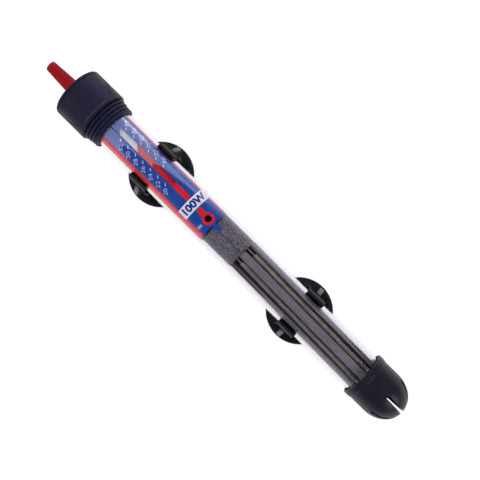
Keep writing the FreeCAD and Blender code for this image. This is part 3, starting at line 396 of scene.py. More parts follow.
@dataclass(frozen=True)
class PaintedShadeFinish(Finish):
    """A finish with painted shade: darker and duller close to the tube's axis.

    Args:
        inner: Colour of the painted shade close to the axis.
        inner_mm: Distance from the axis at which the painted shade gives way to the outer
            look.
        inner_specular: Strength of the reflections in the painted shade close to the axis.
        axis_mm: Height of the axis.
    """

    inner: str = "#000000"
    inner_mm: float = 8.0
    inner_specular: float = 0.1
    axis_mm: float = 27.0

    def unshaded_share(self, tree: bpy.types.NodeTree,
                    spot: bpy.types.NodeSocket) -> bpy.types.NodeSocket:
        """0 in the painted shade close to the axis and 1 outside: the length of the offset
        across the tube.
        """
        offset = add_node(tree, "ShaderNodeMapping", sockets={
            "Vector": spot, "Location": (0.0, 0.0, -self.axis_mm * MM),
            "Scale": (0.0, 1.0, 1.0)})
        reach = add_node(tree, "ShaderNodeVectorMath", {"operation": "LENGTH"},
                         {0: offset.outputs["Vector"]})
        return add_node(tree, "ShaderNodeMapRange", sockets={
            "Value": reach.outputs["Value"], "From Min": (self.inner_mm - 0.04) * MM,
            "From Max": (self.inner_mm + 0.04) * MM}).outputs["Result"]

    def tint(self, tree: bpy.types.NodeTree,
             spot: bpy.types.NodeSocket) -> bpy.types.NodeSocket:
        """The painted shade's colour close to the axis, and the usual ground outside it."""
        return add_node(tree, "ShaderNodeMix", {"data_type": "RGBA"}, {
            0: self.unshaded_share(tree, spot), 6: linear(self.inner),
            7: super().tint(tree, spot)}).outputs[2]

    def gleam(self, tree: bpy.types.NodeTree,
              spot: bpy.types.NodeSocket) -> bpy.types.NodeSocket | float:
        """Duller inside than outside, with the painted shade."""
        return add_node(tree, "ShaderNodeMapRange", sockets={
            "Value": self.unshaded_share(tree, spot), "To Min": self.inner_specular,
            "To Max": self.specular}).outputs["Result"]


@dataclass(frozen=True)
class ClearFinish(Finish):
    """Clear glass, which lets the lamps' light through to what is inside."""

    def surface(self, tree: bpy.types.NodeTree,
                spot: bpy.types.NodeSocket) -> bpy.types.NodeSocket:
        """Refracting glass with faint smears, clear to light on its way to a surface."""
        smear = add_node(tree, "ShaderNodeMapRange", sockets={
            "Value": self.noise(tree, spot, self.patch_mm), "From Min": 0.45,
            "From Max": 0.75, "To Min": self.smooth, "To Max": self.rough})
        glass = add_node(tree, "ShaderNodeBsdfPrincipled", sockets={
            "Base Color": linear(self.colour), "Roughness": smear.outputs["Result"],
            "IOR": self.ior, "Transmission Weight": 1.0})
        clear = add_node(tree, "ShaderNodeBsdfTransparent",
                         sockets={"Color": linear(self.patch)})
        light = add_node(tree, "ShaderNodeLightPath")
        return add_node(tree, "ShaderNodeMixShader", sockets={
            0: light.outputs["Is Shadow Ray"], 1: glass.outputs["BSDF"],
            2: clear.outputs["BSDF"]}).outputs["Shader"]


# One finish for each of the record's slots, and the inks printed on the card.
FINISHES: dict[str, Finish] = {
    # Drawn borosilicate: clear with a cool cast, a few soft smears.
    "glass": ClearFinish("borosilicate_drawn", "#ebe8ee", "#f9f8fb", 9.0, smooth=0.0,
                         rough=0.02, ior=1.47),
    # Satin rubber with a fine spark-eroded grain: broad, weak lights.
    "head_rubber": FleckedFinish("rubber_moulded_navy", "#191a33", "#1e1f39", 9.0, 0.35,
                                 0.01, 0.36, 0.48, ior=1.52, specular=0.1,
                                 fleck="#2c2d44", fleck_mm=0.3, fleck_share=0.66),
    # Black rubber: the same grain, a shade glossier and a little purple.
    "black_rubber": FleckedFinish("rubber_moulded_black", "#120f1b", "#171420", 7.0,
                                  0.35, 0.01, 0.3, 0.42, ior=1.52, specular=0.12,
                                  fleck="#212127", fleck_mm=0.3, fleck_share=0.68),
    # Black nylon: lights on the fins' and the saddle's edges; close to the tube, where the
    # arms are, painted shade makes it darker and duller.
    "clip_plastic": PaintedShadeFinish("nylon_moulded_black", "#1a1824", "#201e2a", 4.0, 0.4,
                                0.006, 0.26, 0.38, ior=1.53, specular=0.3,
                                inner="#0b0a0e", inner_mm=12.5, inner_specular=0.02),
    # Red ABS, polished mould: clean colour and small bright lights on the ribs.
    "knob_plastic": Finish("abs_moulded_red", "#b4101b", "#a80d17", 5.0, 0.6, 0.004,
                           0.24, 0.34, ior=1.54, specular=0.06),
    # Blue printed PVC sheet: even ink with a faint press mottle.
    "blue_card": Finish("pvc_sheet_printed_blue", "#0b4aa6", "#0a459b", 3.0, 0.25, 0.001,
                        0.4, 0.46, ior=1.53, specular=0.25),
    # White polystyrene drum: bright, slightly translucent-looking satin.
    "white_plastic": Finish("polystyrene_moulded_white", "#fbf9fc", "#f2f0f5", 5.0, 0.5,
                            0.004, 0.34, 0.44, ior=1.59, specular=0.3),
    # Red film wound round the drum: glossy and saturated.
    "red_film": Finish("pvc_film_red", "#ee1622", "#e2121e", 4.0, 0.4, 0.002, 0.26,
                       0.34, ior=1.53, specular=0.3),
    # Phenolic moulding: brown-black with pale filler specks.
    "phenolic": FleckedFinish("phenolic_moulded", "#1a1616", "#241e1d", 3.0, 0.4, 0.01,
                              0.3, 0.45, ior=1.6, fleck="#4a3d35", fleck_mm=0.25,
                              fleck_share=0.66),
    # Pressed mineral fibre: matt grey felt full of light and dark flecks.
    "fibre": FleckedFinish("mineral_fibre_pressed", "#45434a", "#74717a", 1.0, 0.45,
                           0.12, 0.85, 0.98, ior=1.45, specular=0.2, fleck="#9c99a2",
                           fleck_mm=0.62, fleck_share=0.56),
    # Unglazed steatite: dry grey, with long faint marks from the extruding die, and painted
    # shade in the grooves that hold the wire.
    "ceramic": PaintedShadeFinish("steatite_extruded_unglazed", "#68656b", "#737077", 2.0, 0.3,
                           0.012, 0.55, 0.75, ior=1.55, specular=0.35, stretch=6.0,
                           inner="#1f1b20", inner_mm=8.25),
    # Pressed mica: buff, with a weak layered gloss.
    "mica": FleckedFinish("mica_pressed", "#9a8f7c", "#857a68", 2.0, 0.3, 0.01, 0.3, 0.5,
                          ior=1.58, fleck="#c9bfa8", fleck_mm=0.4, fleck_share=0.62),
    # Oxidised nickel-chrome wire: warm pale grey, only partly metallic.
    "coil_wire": Finish("nichrome_wire_oxidised", "#b6b0a7", "#a09a92", 1.5, 0.3, 0.004,
                        0.36, 0.5, metallic=0.35),
    "steel": Finish("steel_zinc_plated", "#a9a9ad", "#93939a", 1.5, 0.3, 0.004, 0.24,
                    0.38, metallic=1.0),
    "brass": Finish("brass_drawn", "#b69a5c", "#a1854a", 1.5, 0.3, 0.004, 0.22, 0.36,
                    metallic=1.0, stretch=5.0),
    "silver_contact": Finish("silver_polished", "#d2d0cc", "#bcb9b5", 0.8, 0.3, 0.002,
                             0.12, 0.22, metallic=1.0),
    "bimetal_alloy": Finish("bimetal_strip_rolled", "#a89c88", "#948774", 2.0, 0.25,
                            0.004, 0.28, 0.42, metallic=1.0, stretch=8.0),
    "lamp_glass": ClearFinish("soda_glass_blown", "#ded9dc", "#d5d0d4", 3.0, smooth=0.01,
                              rough=0.06, ior=1.51),
    "lamp_metal": Finish("nickel_etched", "#98948f", "#827e79", 0.8, 0.2, 0.004, 0.3,
                         0.5, metallic=1.0),
    "resistor_lacquer": Finish("lacquer_dipped_tan", "#b89a6c", "#ab8d60", 1.5, 0.5,
                               0.01, 0.2, 0.32, ior=1.52, coat=0.3),
    "capacitor_lacquer": Finish("lacquer_dipped_blue", "#2a59a0", "#254f92", 1.5, 0.5,
                                0.01, 0.18, 0.3, ior=1.52, coat=0.3),
    "lead_insulation": Finish("silicone_sleeving_white", "#d6d6d3", "#cbcbc7", 3.0, 0.4,
                              0.008, 0.4, 0.52, ior=1.43),
}
# The guard's rubber is a shade paler than the cups'.
GUARD_RUBBER = FleckedFinish("rubber_moulded_charcoal", "#211f2c", "#272533", 7.0, 0.35,
                             0.01, 0.3, 0.42, ior=1.52, specular=0.22, fleck="#33323b",
                             fleck_mm=0.3, fleck_share=0.68)
# The pale bead along the foot of the head's panel; its pale colour is a painted highlight on
# the panel's edge.
PANEL_EDGE_HIGHLIGHT = Finish("rubber_painted_edge_highlight", "#5a5a6c", "#4e4e60", 2.0, 0.3, 0.006, 0.4,
                     0.5, specular=0.25)
INKS: dict[str, Finish] = {
    "red": Finish("ink_screened_red", "#e81824", "#dd141f", 2.0, 0.22, 0.001, 0.38, 0.44,
                  specular=0.25),
    "white": Finish("ink_screened_white", "#f4f6ff", "#ebedf9", 1.5, 0.22, 0.001, 0.38,
                    0.44, specular=0.25),
    "letters": Finish("ink_screened_navy", "#103a86", "#0f357c", 1.5, 0.22, 0.001, 0.38,
                      0.44, specular=0.25),
}


class Paints:
    """Builds each finish once and hands out its material."""

    def __init__(self) -> None:
        """Starts with no materials."""
        self.made: dict[str, bpy.types.Material] = {}

    def of(self, finish: Finish) -> bpy.types.Material:
        """The material of a finish."""
        if finish.name not in self.made:
            self.made[finish.name] = finish.build()
        return self.made[finish.name]


PAINTS = Paints()


def settle(piece: bpy.types.Object, body: str, slot: str, *nodes: str,
           finish: Finish | None = None) -> bpy.types.Object:
    """Dresses a piece, rides it on its body and hides the CAD nodes it stands for.

    Args:
        piece: The finished piece.
        body: The CAD body that carries it.
        slot: The record's material slot.
        nodes: CAD nodes that it replaces.
        finish: Its finish, if that isn't the slot's own.

    Returns:
        The piece.
    """
    piece.data.materials.clear()
    piece.data.materials.append(PAINTS.of(finish or FINISHES[slot]))
    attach(piece, body)
    if nodes:
        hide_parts(*nodes)
    log.info("%s: %d faces on %s", piece.name, len(piece.data.polygons), body)
    return piece


# --- Glass tube -------------------------------------------------------------------------
@dataclass
class GlassTube:
    """The sealed tube: rounded bottom, true wall, fire-polished mouth."""

    line: TubeLine
    wall: float = 1.4
    bottom_depth: float = 8.0
    polish: float = 0.6
    columns: int = 160

    def build(self) -> bpy.types.Object:
        """Ellipse from the tip to the wall, straight wall, mouth, and back inside."""
        tip, mouth = self.line.span("glass_tube")
        low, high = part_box("glass_tube")
        radius = (high.y - low.y) / 2.0 / MM
        shoulder = tip + self.bottom_depth
        inner, depth = radius - self.wall, self.bottom_depth - self.wall
        t = np.linspace(0.0, math.pi / 2.0, 20)
        outside = np.stack([shoulder - self.bottom_depth * np.cos(t),
                            radius * np.sin(t)], axis=-1)
        inside = np.stack([shoulder - depth * np.cos(t), inner * np.sin(t)], axis=-1)
        rim = rounded([(shoulder, radius, 0.0), (mouth, radius, self.polish),
                       (mouth, inner, self.polish), (shoulder, inner, 0.0)], False)
        profile = densified(np.concatenate([outside[:-1], rim, inside[-2::-1]]), 6.0)
        angles = np.linspace(0.0, 360.0, self.columns, endpoint=False)
        points = self.line.turn(profile[:, :1], profile[:, 1:], angles[None, :])
        return settle(lathe_piece("tube_glass", points, False), "heater", "glass",
                      "glass_tube")


# --- Head -------------------------------------------------------------------------------
@dataclass
class HeadBoot:
    """The rubber head: ribbed skirt, body with a shallow front panel, rounded top."""

    line: TubeLine
    bore: float = 11.02
    groove_radius: float = 12.2
    radius: float = 14.8
    rib_crowns: tuple[float, ...] = (12.8, 12.9, 13.3, 13.6)
    rib_pitch: float = 2.08
    rib_width: float = 1.66
    rib_round: float = 0.62
    bevel: float = 1.6
    spindle_hole: float = 2.62
    flange_hole: float = 11.92
    roof: float = 6.6
    mouth: float = 8.8
    body_start: float = 8.4
    body_depth: float = 0.4
    panel_foot: float = 10.3
    panel_depth: float = 0.36
    panel_half: float = 8.0
    panel_edge_half: float = 0.17
    sweep_length: float = 13.2
    sweep_width: float = 6.6
    seam_height: float = 0.07
    seam_half: float = 0.14
    bead: float = 0.16
    bead_lead: float = 0.1
    foot_rows: tuple[float, ...] = (-0.17, -0.06, 0.06, 0.17)
    columns: int = 360

    def profile(self, low: float, high: float) -> np.ndarray:
        """Closed profile of stations and radii, from the skirt's foot to the roof."""
        corners = [(low, self.bore, 0.15)]
        for index, crown in enumerate(self.rib_crowns):
            start = low + index * self.rib_pitch
            end = start + self.rib_width
            if index:
                corners.append((start, self.groove_radius, 0.1))
            corners += [(start, crown, self.rib_round), (end, crown, self.rib_round),
                        (end, self.groove_radius, 0.1)]
        body = low + len(self.rib_crowns) * self.rib_pitch
        foot = low + self.panel_foot
        corners += [(body, self.groove_radius, 0.1), (body, self.radius, 0.55),
                    *((foot + step, self.radius, 0.0) for step in self.foot_rows),
                    (high, self.radius, self.bevel), (high, self.spindle_hole, 0.2),
                    (high - self.roof, self.spindle_hole, 0.0),
                    (high - self.roof, self.flange_hole, 0.0),
                    (high - self.mouth, self.flange_hole, 0.0),
                    (high - self.mouth, self.bore, 0.0)]
        return densified(rounded(corners, True), 0.42)

    def recess(self, station: np.ndarray, left: np.ndarray, low: float,
               high: float) -> np.ndarray:
        """How deep the panel lies, from its distance inside a U-shaped outline.

        The outline is straight across its foot and sweeps up each side as a quarter
        ellipse; the distance to the ellipse is (1 - q) over the length of q's slope.
        """
        foot = low + self.panel_foot
        centre = foot + self.sweep_length
        out = np.maximum(np.abs(left) - self.panel_half, 0.0)
        down = np.maximum(centre - station, 0.0)
        q = np.sqrt((out / self.sweep_width) ** 2 + (down / self.sweep_length) ** 2)
        slope = np.sqrt((out / self.sweep_width ** 2) ** 2
                        + (down / self.sweep_length ** 2) ** 2) / np.maximum(q, 1e-6)
        inside = (1.0 - q) / np.maximum(slope, 1e-6)
        level = smoothstep(inside, -self.panel_edge_half, self.panel_edge_half)
        top = 1.0 - smoothstep(station, high - self.bevel - 0.5, high - self.bevel + 0.3)
        return self.panel_depth * level * top

    def build(self) -> bpy.types.Object:
        """Carries the profile round the tube, sinks the panel and leaves the seam proud."""
        low, high = self.line.span("head_boot")
        profile = self.profile(low, high)
        angles = np.linspace(0.0, 360.0, self.columns, endpoint=False)[None, :]
        station, radius = profile[:, :1], profile[:, 1:]
        left = radius * np.sin(np.radians(angles))
        body = (radius > self.radius - self.body_depth) & (station > low + self.body_start)
        front = np.cos(np.radians(angles)) > 0.0
        sunk = np.where(body & front, self.recess(station, left, low, high), 0.0)
        beside = self.seam_height * (body & (np.abs(left) > self.seam_half))
        points = self.line.turn(station, radius - sunk - beside, angles)
        self.panel_edge(low + self.panel_foot)
        return settle(lathe_piece("head_moulding", points, True), "heater",
                      "head_rubber", "head_boot")

    def panel_edge(self, foot: float) -> None:
        """A fine round bead along the straight foot of the panel, coloured as a painted
        highlight.
        """
        reach = math.degrees(math.asin(self.panel_half / self.radius))
        turn = np.linspace(0.0, 2.0 * math.pi, 8, endpoint=False)[:, None]
        around = np.linspace(-reach, reach, 48)[None, :]
        points = self.line.turn(foot - self.bead_lead + self.bead * np.cos(turn),
                                self.radius - self.bead * (1.0 - np.sin(turn)), around)
        settle(lathe_piece("panel_edge", points, True, False), "heater", "head_rubber",
               finish=PANEL_EDGE_HIGHLIGHT)


@dataclass
class CableGland:
    """The short rubber tube on the head that takes the mains cord."""

    edge: float = 0.4

    def build(self) -> bpy.types.Object:
        """Takes the CAD gland and rounds its rims."""
        piece = merged_copy("cable_gland", "gland_moulding")
        bevel(piece, self.edge, 3)
        return settle(piece, "heater", "head_rubber", "cable_gland")


# --- Knob -------------------------------------------------------------------------------
@dataclass
class Knob:
    """The tapered red knob with fluted grip and a plain rounded tip."""

    line: TubeLine
    base_radius: float = 4.15
    tip_radius: float = 3.05
    tip_round: float = 1.5
    flutes: int = 16
    flute_depth: float = 0.42
    flute_half_width: float = 0.3
    plain_tip: float = 2.2
    bore: float = 1.52
    bore_depth: float = 14.2
    columns: int = 384

    def build(self) -> bpy.types.Object:
        """Radius is a taper less a bell-shaped groove every 360 / flutes degrees."""
        low, high = self.line.span("adjuster_knob")
        corners = [(high, 0.0, 0.0), (high, self.tip_radius - 0.1, self.tip_round),
                   (high - 1.1, self.tip_radius, 0.3), (low, self.base_radius, 0.3),
                   (low, self.bore, 0.1), (low + self.bore_depth, self.bore, 0.1),
                   (low + self.bore_depth, 0.0, 0.0)]
        profile = densified(rounded(corners, False), 0.4)
        angles = np.linspace(0.0, 360.0, self.columns, endpoint=False)[None, :]
        station, radius = profile[:, :1], profile[:, 1:]
        pitch = 360.0 / self.flutes
        away = np.abs((angles + pitch / 2.0) % pitch - pitch / 2.0)
        arc = np.radians(away) * np.maximum(radius, 1.0)
        plain = high - self.plain_tip
        groove = np.exp(-(arc / self.flute_half_width) ** 2)
        fade = 1.0 - smoothstep(station, plain - 0.5, plain + 0.2)
        outer = radius > self.tip_radius - 0.05
        radius = radius - np.where(outer, self.flute_depth * groove * fade, 0.0)
        points = self.line.turn(station, radius, angles)
        return settle(lathe_piece("knob_moulding", points, False), "adjuster",
                      "knob_plastic", "adjuster_knob")


# --- Foot guard -------------------------------------------------------------------------
@dataclass
class FootGuard:
    """The rubber guard: slotted dome, barrel, and a rim that stands a little proud."""

    line: TubeLine
    dome: float = 14.2
    nose: float = 0.2
    bore: float = 11.4
    wall: float = 1.25
    rim_start: float = 24.1
    rim_radius: float = 13.0
    slots: int = 6
    turned: float = -4.0
    slot_width: float = 1.9
    slot_length: float = 12.4
    grip: float = 11.03
    grip_half: float = 3.9
    grip_start: float = 7.3
    grip_end: float = 0.6
    petal_columns: int = 30
    slot_columns: int = 4
    slot_rows: int = 30

    def ellipse(self, depth: float, radius: float, stations: np.ndarray) -> np.ndarray:
        """Radius of a rounded end at these stations: r = R sqrt(1 - (a / depth)^2)."""
        a = np.clip((self.dome - stations) / depth, 0.0, 1.0)
        return radius * np.sqrt(np.maximum(1.0 - a * a, 0.0))

    def wall_rows(self, high: float) -> tuple[np.ndarray, np.ndarray]:
        """Outer and inner profile, the same number of rows up to the slots' ends."""
        barrel = self.bore + self.wall
        lead = np.linspace(0.0, 1.0, self.slot_rows) ** 1.6
        outer_s = self.slot_length * lead
        outer_r = self.ellipse(self.dome + self.nose, barrel, outer_s)
        hollow = self.dome - self.wall
        shortest = self.slot_width / 2.0 / math.sin(math.pi / self.slots) + 0.1
        first = self.dome - hollow * math.sqrt(1.0 - (shortest / self.bore) ** 2)
        inner_s = first + (self.slot_length - first) * lead
        inner_r = self.ellipse(hollow, self.bore, inner_s)
        rest = np.linspace(self.slot_length, self.dome, 7)[1:]
        barrel_corners = rounded([
            (self.dome + 0.3, barrel, 0.0), (self.rim_start, barrel, 0.15),
            (self.rim_start + 0.05, self.rim_radius, 0.3), (high, self.rim_radius, 0.35),
            (high, self.rim_radius - self.wall / 1.5, 0.3)], False, 4)
        outer = np.concatenate([
            np.stack([outer_s, outer_r], -1),
            np.stack([rest, self.ellipse(self.dome + self.nose, barrel, rest)], -1),
            densified(barrel_corners, 1.2)])
        bore_corners = np.array([(self.dome + 0.3, self.bore), (self.rim_start, self.bore),
                                 (high - 0.4, self.rim_radius - self.wall / 1.5 - 0.12)])
        inner = np.concatenate([
            np.stack([inner_s, inner_r], -1),
            np.stack([rest, self.ellipse(hollow, self.bore, rest)], -1),
            densified(bore_corners, 1.0)])
        return outer, inner

    def bearings(self, radius: np.ndarray) -> np.ndarray:
        """Angle of each column at each radius.

        The slots keep one width, so their edges lie at asin(half width / radius), and
        the other columns are spread evenly between them.
        """
        half = np.degrees(np.arcsin(np.clip(
            self.slot_width / 2.0 / np.maximum(radius, 1e-6), 0.0, 0.5)))[:, None]
        sector = 360.0 / self.slots
        across = np.linspace(-1.0, 1.0, self.slot_columns + 1)[None, :-1]
        along = np.linspace(0.0, 1.0, self.petal_columns + 1)[None, :-1]
        block = np.concatenate([half * across, half + (sector - 2.0 * half) * along], 1)
        starts = sector * np.arange(self.slots)
        return (starts[None, :, None] + block[:, None, :]).reshape(len(radius), -1)

    def build(self) -> bpy.types.Object:
        """Joins the outer and inner grids, leaves the slots out and walls their sides."""
        high = self.line.span("foot_guard")[1]
        outer, inner = self.wall_rows(high)
        rows = np.concatenate([outer, inner[::-1]])
        angles = self.bearings(rows[:, 1])
        per_slot = self.slot_columns + self.petal_columns
        columns = angles.shape[1]
        radius = np.repeat(rows[:, 1:], columns, axis=1)
        sector = 360.0 / self.slots
        from_grip = np.abs(angles % sector - sector / 2.0)
        gripped = ((np.arange(len(rows)) >= len(outer))[:, None]
                   & (rows[:, :1] > self.dome + self.grip_start)
                   & (rows[:, :1] < high - self.grip_end)
                   & (from_grip < self.grip_half))
        radius = np.where(gripped, np.minimum(radius, self.grip), radius)
        points = self.line.turn(rows[:, :1], radius, angles + self.turned)
        faces = quads(len(rows), columns, True, True)
        row, column = np.divmod(faces[:, 0], columns)
        count, last = self.slot_rows, len(rows)
        slotted = (row < count - 1) | (row >= last - count)
        in_slot = column % per_slot < self.slot_columns
        kept = faces[~(slotted & in_slot)]
        starts = np.arange(self.slots) * per_slot
        edges = np.concatenate([starts, starts + self.slot_columns])
        k, edge = np.meshgrid(np.arange(count - 1), edges % columns, indexing="ij")
        far = last - 1 - k
        sides = np.stack([k * columns + edge, (k + 1) * columns + edge,
                          (far - 1) * columns + edge, far * columns + edge], -1)
        strip = (starts[:, None] + np.arange(self.slot_columns)[None, :]).ravel()
        end, facing = (count - 1) * columns, (last - count) * columns
        ends = np.stack([end + strip, end + strip + 1, facing + strip + 1,
                         facing + strip], -1)
        mesh_faces = np.concatenate([kept, sides.reshape(-1, 4), ends])
        piece = make_piece("guard_moulding", points, mesh_faces.tolist(), 38.0, 2e-6)
        bevel(piece, 0.16, 2, 50.0)
        return settle(piece, "heater", "black_rubber", "foot_guard",
                      finish=GUARD_RUBBER)


# --- Heating element --------------------------------------------------------------------
@dataclass
class Element:
    """The fluted ceramic core with the wound resistance wire in its grooves."""

    line: TubeLine
    lean: float = -0.8
    middle: float = 67.05
    circle: float = 7.15
    coil_radius: float = 1.28
    wire_radius: float = 0.17
    pitch: float = 0.62
    start: float = 24.0
    tops: tuple[float, ...] = (108.6, 112.2, 112.2, 112.2, 112.2, 110.4)
    turn_points: int = 12
    wire_sides: int = 5

    def leaned(self, station: np.ndarray, left: np.ndarray,
               front: np.ndarray) -> np.ndarray:
        """Turns element coordinates by the lean about the core's middle."""
        tilt = math.radians(self.lean)
        run = station - self.middle
        return self.line.place(self.middle + run * math.cos(tilt) - left * math.sin(tilt),
                               run * math.sin(tilt) + left * math.cos(tilt), front)

    def coil_run(self, top: float, bearing: float, phase: float) -> np.ndarray:
        """Points of one wound run, ring by ring.

        The wire's middle goes round the run's own axis at the coil's mean radius while
        its station rises by one pitch a turn. The winding is a little uneven: slow
        waves stretch the pitch and shift the run in its groove.
        """
        turns = (top - self.start) / self.pitch
        t = np.linspace(0.0, 1.0, int(turns * self.turn_points))[:, None]
        side = np.linspace(0.0, 2.0 * math.pi, self.wire_sides, endpoint=False)[None, :]
        wound = 2.0 * math.pi * turns * (t + 0.002 * np.sin(38.0 * t + phase))
        taper = np.minimum(np.minimum(t, 1.0 - t) * turns * 6.0, 1.0)
        wire = self.wire_radius * np.sqrt(taper)
        reach = self.coil_radius - self.wire_radius + wire * np.cos(side)
        drift = 0.05 * np.sin(17.0 * t + 2.0 * phase)
        turn = math.radians(bearing)
        out = self.circle + drift + reach * np.cos(wound)
        across = 0.07 * np.sin(11.0 * t + phase) + reach * np.sin(wound)
        station = self.start + (top - self.start) * t + wire * np.sin(side)
        return self.leaned(station, out * math.sin(turn) + across * math.cos(turn),
                           out * math.cos(turn) - across * math.sin(turn))

    def build(self) -> None:
        """Builds the winding, and rounds the core's edges."""
        points, faces, used = [], [], 0
        for index, top in enumerate(self.tops):
            run = self.coil_run(top, -30.0 - 60.0 * index, 1.3 * index)
            faces.append(quads(run.shape[0], run.shape[1], False, True) + used)
            points.append(run.reshape(-1, 3))
            used += len(points[-1])
        winding = make_piece("coil_winding", np.concatenate(points),
                             np.concatenate(faces).tolist(), 60.0)
        settle(winding, "heater", "coil_wire", "heating_coil")
        core = merged_copy("ceramic_core", "core_extrusion")
        bevel(core, 0.25, 2)
        settle(core, "heater", "ceramic", "ceramic_core")


@dataclass
class FibreSleeve:
    """The pressed fibre sleeve between element and thermostat, slit down its front."""

    line: TubeLine
    radius: float = 8.8
    wall: float = 0.7
    shift: float = -0.4
    slit: float = 0.3
    fray: float = 0.05
    columns: int = 300

    def build(self) -> bpy.types.Object:
        """A rounded band carried from one side of the slit to the other.

        Its radius wanders by the sum of slow waves and a seeded grain.
        """
        low, high = self.line.span("insulating_sleeve")
        inner = self.radius - self.wall
        profile = densified(rounded([(low, self.radius, 0.2), (high, self.radius, 0.2),
                                     (high, inner, 0.2), (low, inner, 0.2)], True), 0.35)
        half = math.degrees(self.slit / 2.0 / self.radius)
        angles = np.linspace(half, 360.0 - half, self.columns)[None, :]
        station, radius = profile[:, :1], profile[:, 1:]
        draw = np.random.default_rng(7)
        grain = draw.normal(0.0, 1.0, (len(profile), self.columns))
        grain = (grain + np.roll(grain, 1, 0) + np.roll(grain, 1, 1)
                 + np.roll(grain, 1, (0, 1))) / 4.0
        waves = (np.sin(0.9 * station + np.radians(3.0 * angles))
                 + np.sin(0.37 * station - np.radians(5.0 * angles)))
        wander = self.fray * (0.35 * waves + 0.5 * grain) - 0.02
        flare = 0.08 * np.exp(-((angles - half) / 3.0) ** 2)
        bearing = np.radians(angles)
        round_r = radius + wander + flare
        points = self.line.place(station, round_r * np.sin(bearing) + self.shift,
                                 round_r * np.cos(bearing))
        piece = lathe_piece("sleeve_fibre", points, True, False, 50.0)
        return settle(piece, "heater", "fibre", "insulating_sleeve")


# --- Scale card print -------------------------------------------------------------------
@dataclass(frozen=True)
class Label:
    """A word on the card.

    Args:
        text: What it says.
        station: Station of its middle.
        angle: Angle of its middle.
        height: Letter height.
        width: Width of the word.
        tilt: Degrees by which it rises to the right, read with the knob up.
        weight: How much the strokes are thickened, as a share of the letter size.
    """

    text: str
    station: float
    angle: float
    height: float
    width: float
    tilt: float = 0.0
    weight: float = 0.0


